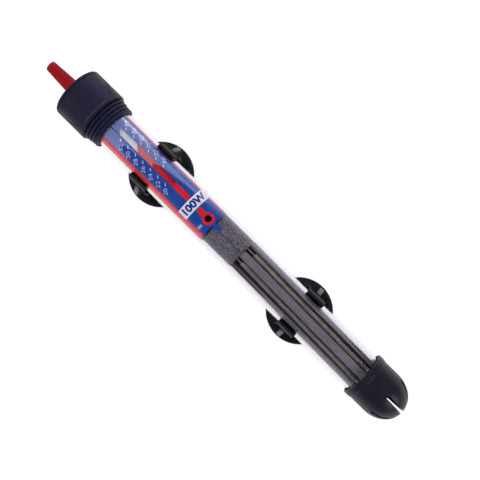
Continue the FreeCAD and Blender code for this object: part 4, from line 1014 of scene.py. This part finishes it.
@dataclass
class CardPrint:
    """What is printed on the blue card: borders, bar, rating box, ring and scales."""

    line: TubeLine
    ground: float = 9.452
    ink: float = 0.02
    tongue: float = 4.5
    blue_edges: tuple[float, float] = (-60.0, 41.0)
    card_edges: tuple[float, float] = (-102.0, 77.2)
    card_tail: float = 218.0
    bar_angle: float = -8.0
    bar_half: float = 1.5
    slot_foot: float = 163.0
    box: tuple[float, float] = (145.9, 151.8)
    box_angles: tuple[float, float] = (-70.0, 45.0)
    ring_angle: float = -6.6
    ring_station: float = 138.1
    ring_radii: tuple[float, float] = (1.85, 3.25)
    celsius: tuple[str, ...] = ("32", "30", "28", "26", "24", "22", "20")
    celsius_first: float = 198.4
    fahrenheit: tuple[str, ...] = ("89", "86", "82", "75", "72", "68")
    fahrenheit_first: float = 200.6
    celsius_left: tuple[float, float] = (1.75, 4.3)
    fahrenheit_left: tuple[float, float] = (-4.0, -6.15)
    pitch: float = 5.42
    tilt: float = 45.0
    bar_gap: float = 0.7
    stem_gap: float = 0.6
    stem_turn: float = 0.8
    ring_overlap: float = 0.35
    rating: Label = Label("100W", 148.85, -10.5, 4.25, 14.6, 0.0, 0.045)
    lamp_word: Label = Label("ON", 138.3, 30.0, 1.65, 2.7, 0.0, 0.01)
    numeral_height: float = 2.1
    numeral_width: float = 3.4
    numeral_weight: float = -0.018
    tick: tuple[float, float] = (1.6, 0.32)
    strip: float = 0.45

    def band(self, name: str, stations: tuple[float, float],
             angles: tuple[float, float], ink: str, layer: int = 1) -> None:
        """A printed rectangle: a thin closed band, so many ink layers proud."""
        low, high = self.ground, self.ground + self.ink * layer
        profile = densified(np.array([(stations[0], high), (stations[1], high),
                                      (stations[1], low), (stations[0], low),
                                      (stations[0], high)]), 4.0)[:-1]
        steps = max(3, int(abs(angles[1] - angles[0]) / 1.5))
        around = np.linspace(*angles, steps)[None, :]
        points = self.line.turn(profile[:, :1], profile[:, 1:], around)
        self.inked(lathe_piece(name, points, True, False), ink)

    def inked(self, piece: bpy.types.Object, ink: str) -> None:
        """Dresses a printed piece and lets it ride with the card."""
        slot = {"red": "red_film", "white": "white_plastic", "letters": "blue_card"}[ink]
        settle(piece, "heater", slot, finish=INKS[ink])

    def ring(self) -> None:
        """The ring round the lamp window: its cross-section carried round its centre."""
        inner, outer = self.ring_radii
        profile = np.array([(inner, 0.0), ((inner + outer) / 2, 0.0), (outer, 0.0),
                            (outer, 1.0), ((inner + outer) / 2, 1.0), (inner, 1.0)])
        turn = np.linspace(0.0, 2.0 * math.pi, 72, endpoint=False)[None, :]
        reach, layer = profile[:, :1], profile[:, 1:]
        radius = self.ground + self.ink * (0.2 + 2.0 * layer)
        angle = self.ring_angle + np.degrees(reach * np.sin(turn) / self.ground)
        points = self.line.turn(self.ring_station + reach * np.cos(turn), radius, angle)
        self.inked(lathe_piece("print_ring", points, True), "red")

    def flat_letters(self, label: Label) -> bpy.types.Mesh:
        """A word as a thin flat solid, centred, in millimetres."""
        curve = bpy.data.curves.new("letters", "FONT")
        curve.body = label.text
        curve.size = 1.0
        curve.offset = label.weight
        curve.resolution_u = 5
        curve.extrude = 0.1
        holder = bpy.data.objects.new("letters", curve)
        bpy.context.scene.collection.objects.link(holder)
        bpy.context.view_layer.update()
        depsgraph = bpy.context.evaluated_depsgraph_get()
        mesh = bpy.data.meshes.new_from_object(holder.evaluated_get(depsgraph))
        bpy.data.objects.remove(holder)
        bpy.data.curves.remove(curve)
        spots = np.empty(len(mesh.vertices) * 3, np.float32)
        mesh.vertices.foreach_get("co", spots)
        spots = spots.reshape(-1, 3)
        low, high = spots.min(0), spots.max(0)
        size = np.array([label.width, label.height, 2.0], np.float32)
        spots = (spots - (low + high) / 2.0) / (high - low) * size
        mesh.vertices.foreach_set("co", spots.ravel())
        return mesh

    def wrapped(self, mesh: bpy.types.Mesh, station: float, angle: float, tilt: float,
                layer: int) -> tuple[np.ndarray, list]:
        """Turns a flat mesh by its tilt, cuts it into narrow strips and wraps it.

        Across the card, a point's distance to the right becomes an angle of that
        distance over the radius, towards the right side of the tube.

        Returns:
            The points and the faces.
        """
        mesh.transform(Matrix.Rotation(math.radians(tilt), 4, "Z"))
        work = bmesh.new()
        work.from_mesh(mesh)
        bmesh.ops.remove_doubles(work, verts=work.verts, dist=1e-4)
        reach = max(abs(v.co.x) for v in work.verts)
        for cut in np.arange(-reach + self.strip, reach, self.strip):
            bmesh.ops.bisect_plane(work, geom=[*work.verts, *work.edges, *work.faces],
                                   plane_co=(cut, 0.0, 0.0), plane_no=(1.0, 0.0, 0.0))
        work.verts.index_update()
        spots = np.array([v.co for v in work.verts])
        faces = [[v.index for v in face.verts] for face in work.faces]
        work.free()
        bpy.data.meshes.remove(mesh)
        radius = self.ground + self.ink * (layer + 0.5 + 0.5 * spots[:, 2])
        around = angle - np.degrees(spots[:, 0] / self.ground)
        return self.line.turn(station + spots[:, 1], radius, around), faces

    def tick_mesh(self) -> bpy.types.Mesh:
        """A short flat bar for one mark of a scale, in millimetres."""
        x, y = self.tick[0] / 2.0, self.tick[1] / 2.0
        corners = [(-x, -y), (x, -y), (x, y), (-x, y)]
        mesh = bpy.data.meshes.new("tick")
        mesh.from_pydata([(*c, h) for h in (-1.0, 1.0) for c in corners], [],
                         [(0, 3, 2, 1), (4, 5, 6, 7), (0, 1, 5, 4), (1, 2, 6, 5),
                          (2, 3, 7, 6), (3, 0, 4, 7)])
        return mesh

    def printed(self, name: str, parts: list[tuple[np.ndarray, list]], ink: str) -> None:
        """Joins wrapped parts into one inked piece."""
        starts = np.cumsum([0] + [len(points) for points, _ in parts])
        faces = [[int(i + start) for i in face]
                 for start, (_, some) in zip(starts, parts) for face in some]
        points = np.concatenate([points for points, _ in parts])
        self.inked(make_piece(name, points, faces, 40.0, 1e-9), ink)

    def scale(self, name: str, numerals: tuple[str, ...], first: float,
              tick_left: float, numeral_left: float) -> None:
        """One temperature scale: a numeral and a mark every pitch, all tilted alike."""
        parts = []
        for index, text in enumerate(numerals):
            station = first - index * self.pitch
            parts.append(self.wrapped(
                self.tick_mesh(), station, self.angle_at(tick_left), self.tilt, 1))
            label = Label(text, station + tick_left - numeral_left,
                          self.angle_at(numeral_left), self.numeral_height,
                          self.numeral_width, self.tilt, self.numeral_weight)
            parts.append(self.wrapped(self.flat_letters(label), label.station,
                                      label.angle, label.tilt, 1))
        self.printed(name, parts, "white")

    def angle_at(self, left: float) -> float:
        """Angle at which a point of the card lies so far left of the tube's axis."""
        return math.degrees(math.asin(left / self.ground))

    def word(self, name: str, label: Label, ink: str, layer: int) -> None:
        """Prints one word."""
        self.printed(name, [self.wrapped(self.flat_letters(label), label.station,
                                         label.angle, label.tilt, layer)], ink)

    def build(self) -> None:
        """Prints the card in order, from the borders to the lettering."""
        foot = self.line.span("scale_card")[0] + self.tongue
        self.band("print_border_left", (foot, self.card_tail),
                  (self.blue_edges[1], self.card_edges[1]), "red")
        self.band("print_border_right", (foot, self.card_tail),
                  (self.card_edges[0], self.blue_edges[0]), "red")
        half = math.degrees(self.bar_half / self.ground)
        bar = (self.bar_angle - half, self.bar_angle + half)
        self.band("print_bar", (self.box[1] + self.bar_gap, self.slot_foot - 0.05), bar,
                  "red")
        ring_edge = self.ring_station + self.ring_radii[1] - self.ring_overlap
        self.band("print_stem", (ring_edge, self.box[0] - self.stem_gap),
                  (bar[0] + self.stem_turn, bar[1] + self.stem_turn), "red")
        self.band("print_box", self.box, self.box_angles, "white", 2)
        self.ring()
        self.word("print_rating", self.rating, "letters", 2)
        self.word("print_on", self.lamp_word, "white", 1)
        self.scale("print_celsius", self.celsius, self.celsius_first, *self.celsius_left)
        self.scale("print_fahrenheit", self.fahrenheit, self.fahrenheit_first,
                   *self.fahrenheit_left)


# --- Clips and suction cups -------------------------------------------------------------
@dataclass
class Clip:
    """A black clip: sprung arms, saddle, fins and keyhole plate."""

    place: Place
    edge: float = 0.3

    def build(self) -> bpy.types.Object:
        """Takes the CAD clip and rounds its edges."""
        node = f"{self.place.value}_clip"
        piece = merged_copy(node, f"{self.place.value}_clip_moulding")
        bevel(piece, self.edge, 3)
        return settle(piece, node, "clip_plastic", node)


@dataclass
class SuctionCup:
    """A rubber suction cup: button, neck, hub and a ribbed dish with a wavy lip."""

    line: TubeLine
    place: Place
    radius: float = 18.5
    button: float = 4.2
    button_top: float = -12.9
    button_foot: float = -15.1
    neck: float = 2.52
    hub: float = 5.2
    hub_top: float = -17.35
    hub_foot: float = -19.05
    dish_middle: tuple[float, float] = (12.2, -23.4)
    lip: float = 0.5
    hollow: float = 3.7
    ribs: int = 84
    rib_height: float = 0.22
    rings: tuple[float, ...] = (12.6, 14.0)
    ring_height: float = 0.22
    ring_half: float = 0.32
    scallop: float = 0.36
    columns: int = 504

    def profile(self) -> np.ndarray:
        """Radii and heights from the button's middle round to the hollow's middle."""
        floor = -self.line.height
        t = np.linspace(0.0, 1.0, 30)[:, None]

        def bow(start: tuple, through: tuple, end: tuple) -> np.ndarray:
            """Parabola through three points, the middle one at half way."""
            a, m, b = (np.array(p, float) for p in (start, through, end))
            pull = 2.0 * m - (a + b) / 2.0
            return (1 - t) ** 2 * a + 2 * t * (1 - t) * pull + t ** 2 * b

        top = rounded([
            (0.0, self.button_top, 0.0), (self.button, self.button_top, 0.7),
            (self.button, self.button_foot, 0.25), (self.neck, self.button_foot, 0.2),
            (self.neck, self.hub_top, 0.3), (self.hub, self.hub_top, 0.4),
            (self.hub, self.hub_foot, 0.0)], False)
        dish = bow((self.hub, self.hub_foot), self.dish_middle,
                   (self.radius - 0.15, floor + self.lip + 0.1))
        edge = np.array([(self.radius, floor + self.lip * 0.6), (self.radius, floor),
                         (self.radius - 0.8, floor)])
        under = bow((self.radius - 0.8, floor), (0.55 * self.radius,
                    floor + 0.72 * self.hollow), (0.0, floor + self.hollow))
        return densified(np.concatenate([top, dish[1:], edge, under[1:]]), 0.5)

    def build(self) -> bpy.types.Object:
        """Turns the profile about the cup's own axis.

        Radial ribs lift the dish's outside by a rounded wave that fades in towards the
        lip, two rings run round inside them, and the lip's radius dips between ribs.
        """
        low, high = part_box(f"{self.place.value}_suction_cup")
        centre = (low.x + high.x) / 2.0 / MM - self.line.foot
        profile = self.profile()
        turn = np.linspace(0.0, 2.0 * math.pi, self.columns, endpoint=False)[None, :]
        reach, height = profile[:, :1], profile[:, 1:]
        outside = np.arange(len(profile))[:, None] < np.argmax(profile[:, 0])
        wave = 0.5 + 0.5 * np.cos(self.ribs * turn)
        zone = smoothstep(reach, 15.4, 16.2) * (1.0 - smoothstep(reach, 18.0, 18.5))
        ring = sum(np.exp(-((reach - r) / self.ring_half) ** 2) for r in self.rings)
        lift = np.where(outside & (reach > self.hub + 1.0),
                        self.rib_height * zone * (wave - 0.6) + self.ring_height * ring,
                        0.0)
        reach = reach - self.scallop * (1.0 - wave) * smoothstep(reach, 17.2, 18.3)
        points = self.line.place(centre + reach * np.cos(turn), reach * np.sin(turn),
                                 height + lift)
        piece = lathe_piece(f"{self.place.value}_cup_moulding", points, False)
        node = f"{self.place.value}_suction_cup"
        return settle(piece, f"{self.place.value}_cup", "black_rubber", node)


# --- Pieces that keep their CAD shape ---------------------------------------------------
class InnerWorks:
    """Thermostat, lamp, leads and fittings, which keep their CAD shape."""

    def dress(self) -> None:
        """Gives every CAD node still shown the finish of its own slot."""
        slots = {part["node"]: part["material_slot"]
                 for part in frame["record"]["subparts"]}
        for name, node in frame["nodes"].items():
            if node.hide_render:
                continue
            node.data.materials.clear()
            node.data.materials.append(PAINTS.of(FINISHES[slots[name]]))
            log.info("%s: dressed as %s", name, slots[name])


# --- Stage ------------------------------------------------------------------------------
@dataclass(frozen=True)
class Softbox:
    """A flat studio light, as the rectangle between an edge and its reach.

    Args:
        name: The light's name.
        edge: Two ends of one edge, in metres.
        towards: Direction in which the light extends from that edge.
        depth: How far it extends, in metres.
        radiance: How bright it looks; 1 is a white surface.
    """

    name: str
    edge: tuple[tuple[float, float, float], tuple[float, float, float]]
    towards: tuple[float, float, float]
    depth: float
    radiance: float

    def build(self, aim: Vector) -> bpy.types.Object:
        """Adds the area light, facing aim."""
        first, second = (Vector(end) for end in self.edge)
        along = second - first
        side = along.normalized()
        out = Vector(self.towards)
        out = (out - side * out.dot(side)).normalized()
        centre = (first + second) / 2.0 + out * self.depth / 2.0
        back = side.cross(out)
        if back.dot(aim - centre) > 0.0:
            side, back = -side, -back
        light = bpy.data.lights.new(self.name, "AREA")
        light.shape = "RECTANGLE"
        light.size, light.size_y = along.length, self.depth
        light.energy = self.radiance * math.pi * along.length * self.depth
        holder = bpy.data.objects.new(self.name, light)
        holder.matrix_world = Matrix((
            (side.x, out.x, back.x, centre.x), (side.y, out.y, back.y, centre.y),
            (side.z, out.z, back.z, centre.z), (0.0, 0.0, 0.0, 1.0)))
        holder.visible_camera = False
        bpy.context.scene.collection.objects.link(holder)
        return holder


@dataclass
class Stage:
    """Pale lit floor, soft studio lights, and the camera above the heater."""

    floor_size: float = 6.0
    floor_colour: str = "#88888c"
    floor_glow: float = 0.9
    horizon: float = 0.9
    fill: float = 0.35
    zenith: float = 0.04
    lens: float = 60.0
    sensor: float = 36.0
    distance: float = 413.0
    pitch: float = 3.6
    roll: float = 44.63
    target: tuple[float, float, float] = (-8.2, -4.75, 27.0)
    softboxes: tuple[Softbox, ...] = (
        Softbox("softbox_right", ((0.22, 0.05, 0.87), (0.11, -0.87, 0.18)),
                (1.0, 0.0, 0.0), 0.7, 1.8),
        Softbox("softbox_left", ((0.24, 0.12, 0.85), (0.26, 0.85, 0.25)),
                (1.0, 0.0, 0.0), 0.6, 2.0),
        Softbox("softbox_foot", ((-0.6, -0.42, 0.7), (-0.6, 0.25, 0.7)),
                (-0.6, 0.0, -0.5), 0.5, 4.0),
        Softbox("softbox_side", ((0.27, -0.9, 0.02), (0.62, -0.9, 0.02)),
                (0.0, 0.0, 1.0), 0.22, 4.5),
    )

    def floor(self) -> None:
        """A flat pale floor that glows a little, as on a light table."""
        half = self.floor_size / 2.0
        mesh = bpy.data.meshes.new("floor")
        mesh.from_pydata([(-half, -half, 0.0), (half, -half, 0.0), (half, half, 0.0),
                          (-half, half, 0.0)], [], [(0, 1, 2, 3)])
        floor = bpy.data.objects.new("floor", mesh)
        bpy.context.scene.collection.objects.link(floor)
        material = bpy.data.materials.new("floor_lit")
        material.use_nodes = True
        tree = material.node_tree
        tree.nodes.clear()
        surface = add_node(tree, "ShaderNodeBsdfPrincipled", sockets={
            "Base Color": linear(self.floor_colour), "Roughness": 0.9,
            "Emission Color": (1.0, 1.0, 1.0, 1.0), "Emission Strength": self.floor_glow})
        add_node(tree, "ShaderNodeOutputMaterial",
                 sockets={"Surface": surface.outputs["BSDF"]})
        mesh.materials.append(material)

    def world(self) -> None:
        """A studio that is bright at the horizon and dark overhead.

        Seen by the camera or through glass it has its full strength; what it adds to the
        surfaces' light and reflections is only the fill.
        """
        world = bpy.data.worlds.new("studio")
        bpy.context.scene.world = world
        world.use_nodes = True
        tree = world.node_tree
        tree.nodes.clear()
        way = add_node(tree, "ShaderNodeTexCoord").outputs["Generated"]
        parts = add_node(tree, "ShaderNodeSeparateXYZ", sockets={"Vector": way})
        level = add_node(tree, "ShaderNodeMapRange", sockets={
            "Value": parts.outputs["Z"], "From Min": 0.05, "From Max": 0.55,
            "To Min": self.horizon, "To Max": self.zenith})
        light = add_node(tree, "ShaderNodeLightPath").outputs
        direct = add_node(tree, "ShaderNodeMath", {"operation": "MAXIMUM"}, {
            0: light["Is Camera Ray"], 1: light["Is Transmission Ray"]})
        share = add_node(tree, "ShaderNodeMapRange", sockets={
            "Value": direct.outputs[0], "To Min": self.fill, "To Max": 1.0})
        strength = add_node(tree, "ShaderNodeMath", {"operation": "MULTIPLY"}, {
            0: level.outputs["Result"], 1: share.outputs["Result"]})
        sky = add_node(tree, "ShaderNodeBackground", sockets={
            "Color": (1.0, 1.0, 1.0, 1.0), "Strength": strength.outputs[0]})
        add_node(tree, "ShaderNodeOutputWorld",
                 sockets={"Surface": sky.outputs["Background"]})

    def camera(self) -> None:
        """Looks down on the heater, nearly square to the tube, foot end nearer.

        The image's right and up directions are the tube's own direction and the
        direction across it, turned by the roll.
        """
        tilt, roll = math.radians(self.pitch), math.radians(self.roll)
        along = Vector((-math.cos(tilt), 0.0, -math.sin(tilt)))
        across = Vector((0.0, 1.0, 0.0))
        ahead = Vector((math.sin(tilt), 0.0, -math.cos(tilt)))
        right = math.cos(roll) * along - math.sin(roll) * across
        up = -(math.sin(roll) * along + math.cos(roll) * across)
        spot = (Vector(self.target) - self.distance * ahead) * MM
        data = bpy.data.cameras.new("camera")
        data.lens, data.sensor_width, data.sensor_fit = self.lens, self.sensor, "AUTO"
        data.clip_start, data.clip_end = 0.01, 20.0
        camera = bpy.data.objects.new("camera", data)
        camera.matrix_world = Matrix((
            (right.x, up.x, -ahead.x, spot.x), (right.y, up.y, -ahead.y, spot.y),
            (right.z, up.z, -ahead.z, spot.z), (0.0, 0.0, 0.0, 1.0)))
        bpy.context.scene.collection.objects.link(camera)
        bpy.context.scene.camera = camera

    def build(self) -> None:
        """Sets up floor, world, lights and camera."""
        self.floor()
        self.world()
        for softbox in self.softboxes:
            softbox.build(Vector((0.0, 0.0, 0.0)))
        self.camera()
        bpy.context.scene.view_settings.view_transform = "Standard"


def main() -> None:
    """Builds every piece in order."""
    logging.basicConfig(level=logging.INFO, format="%(name)s: %(message)s")
    line = TubeLine.from_frame()
    Stage().build()
    GlassTube(line).build()
    HeadBoot(line).build()
    CableGland().build()
    Knob(line).build()
    FootGuard(line).build()
    Element(line).build()
    FibreSleeve(line).build()
    CardPrint(line).build()
    for place in Place:
        Clip(place).build()
        SuctionCup(line, place).build()
    InnerWorks().dress()


if __name__ == "__main__":
    main()
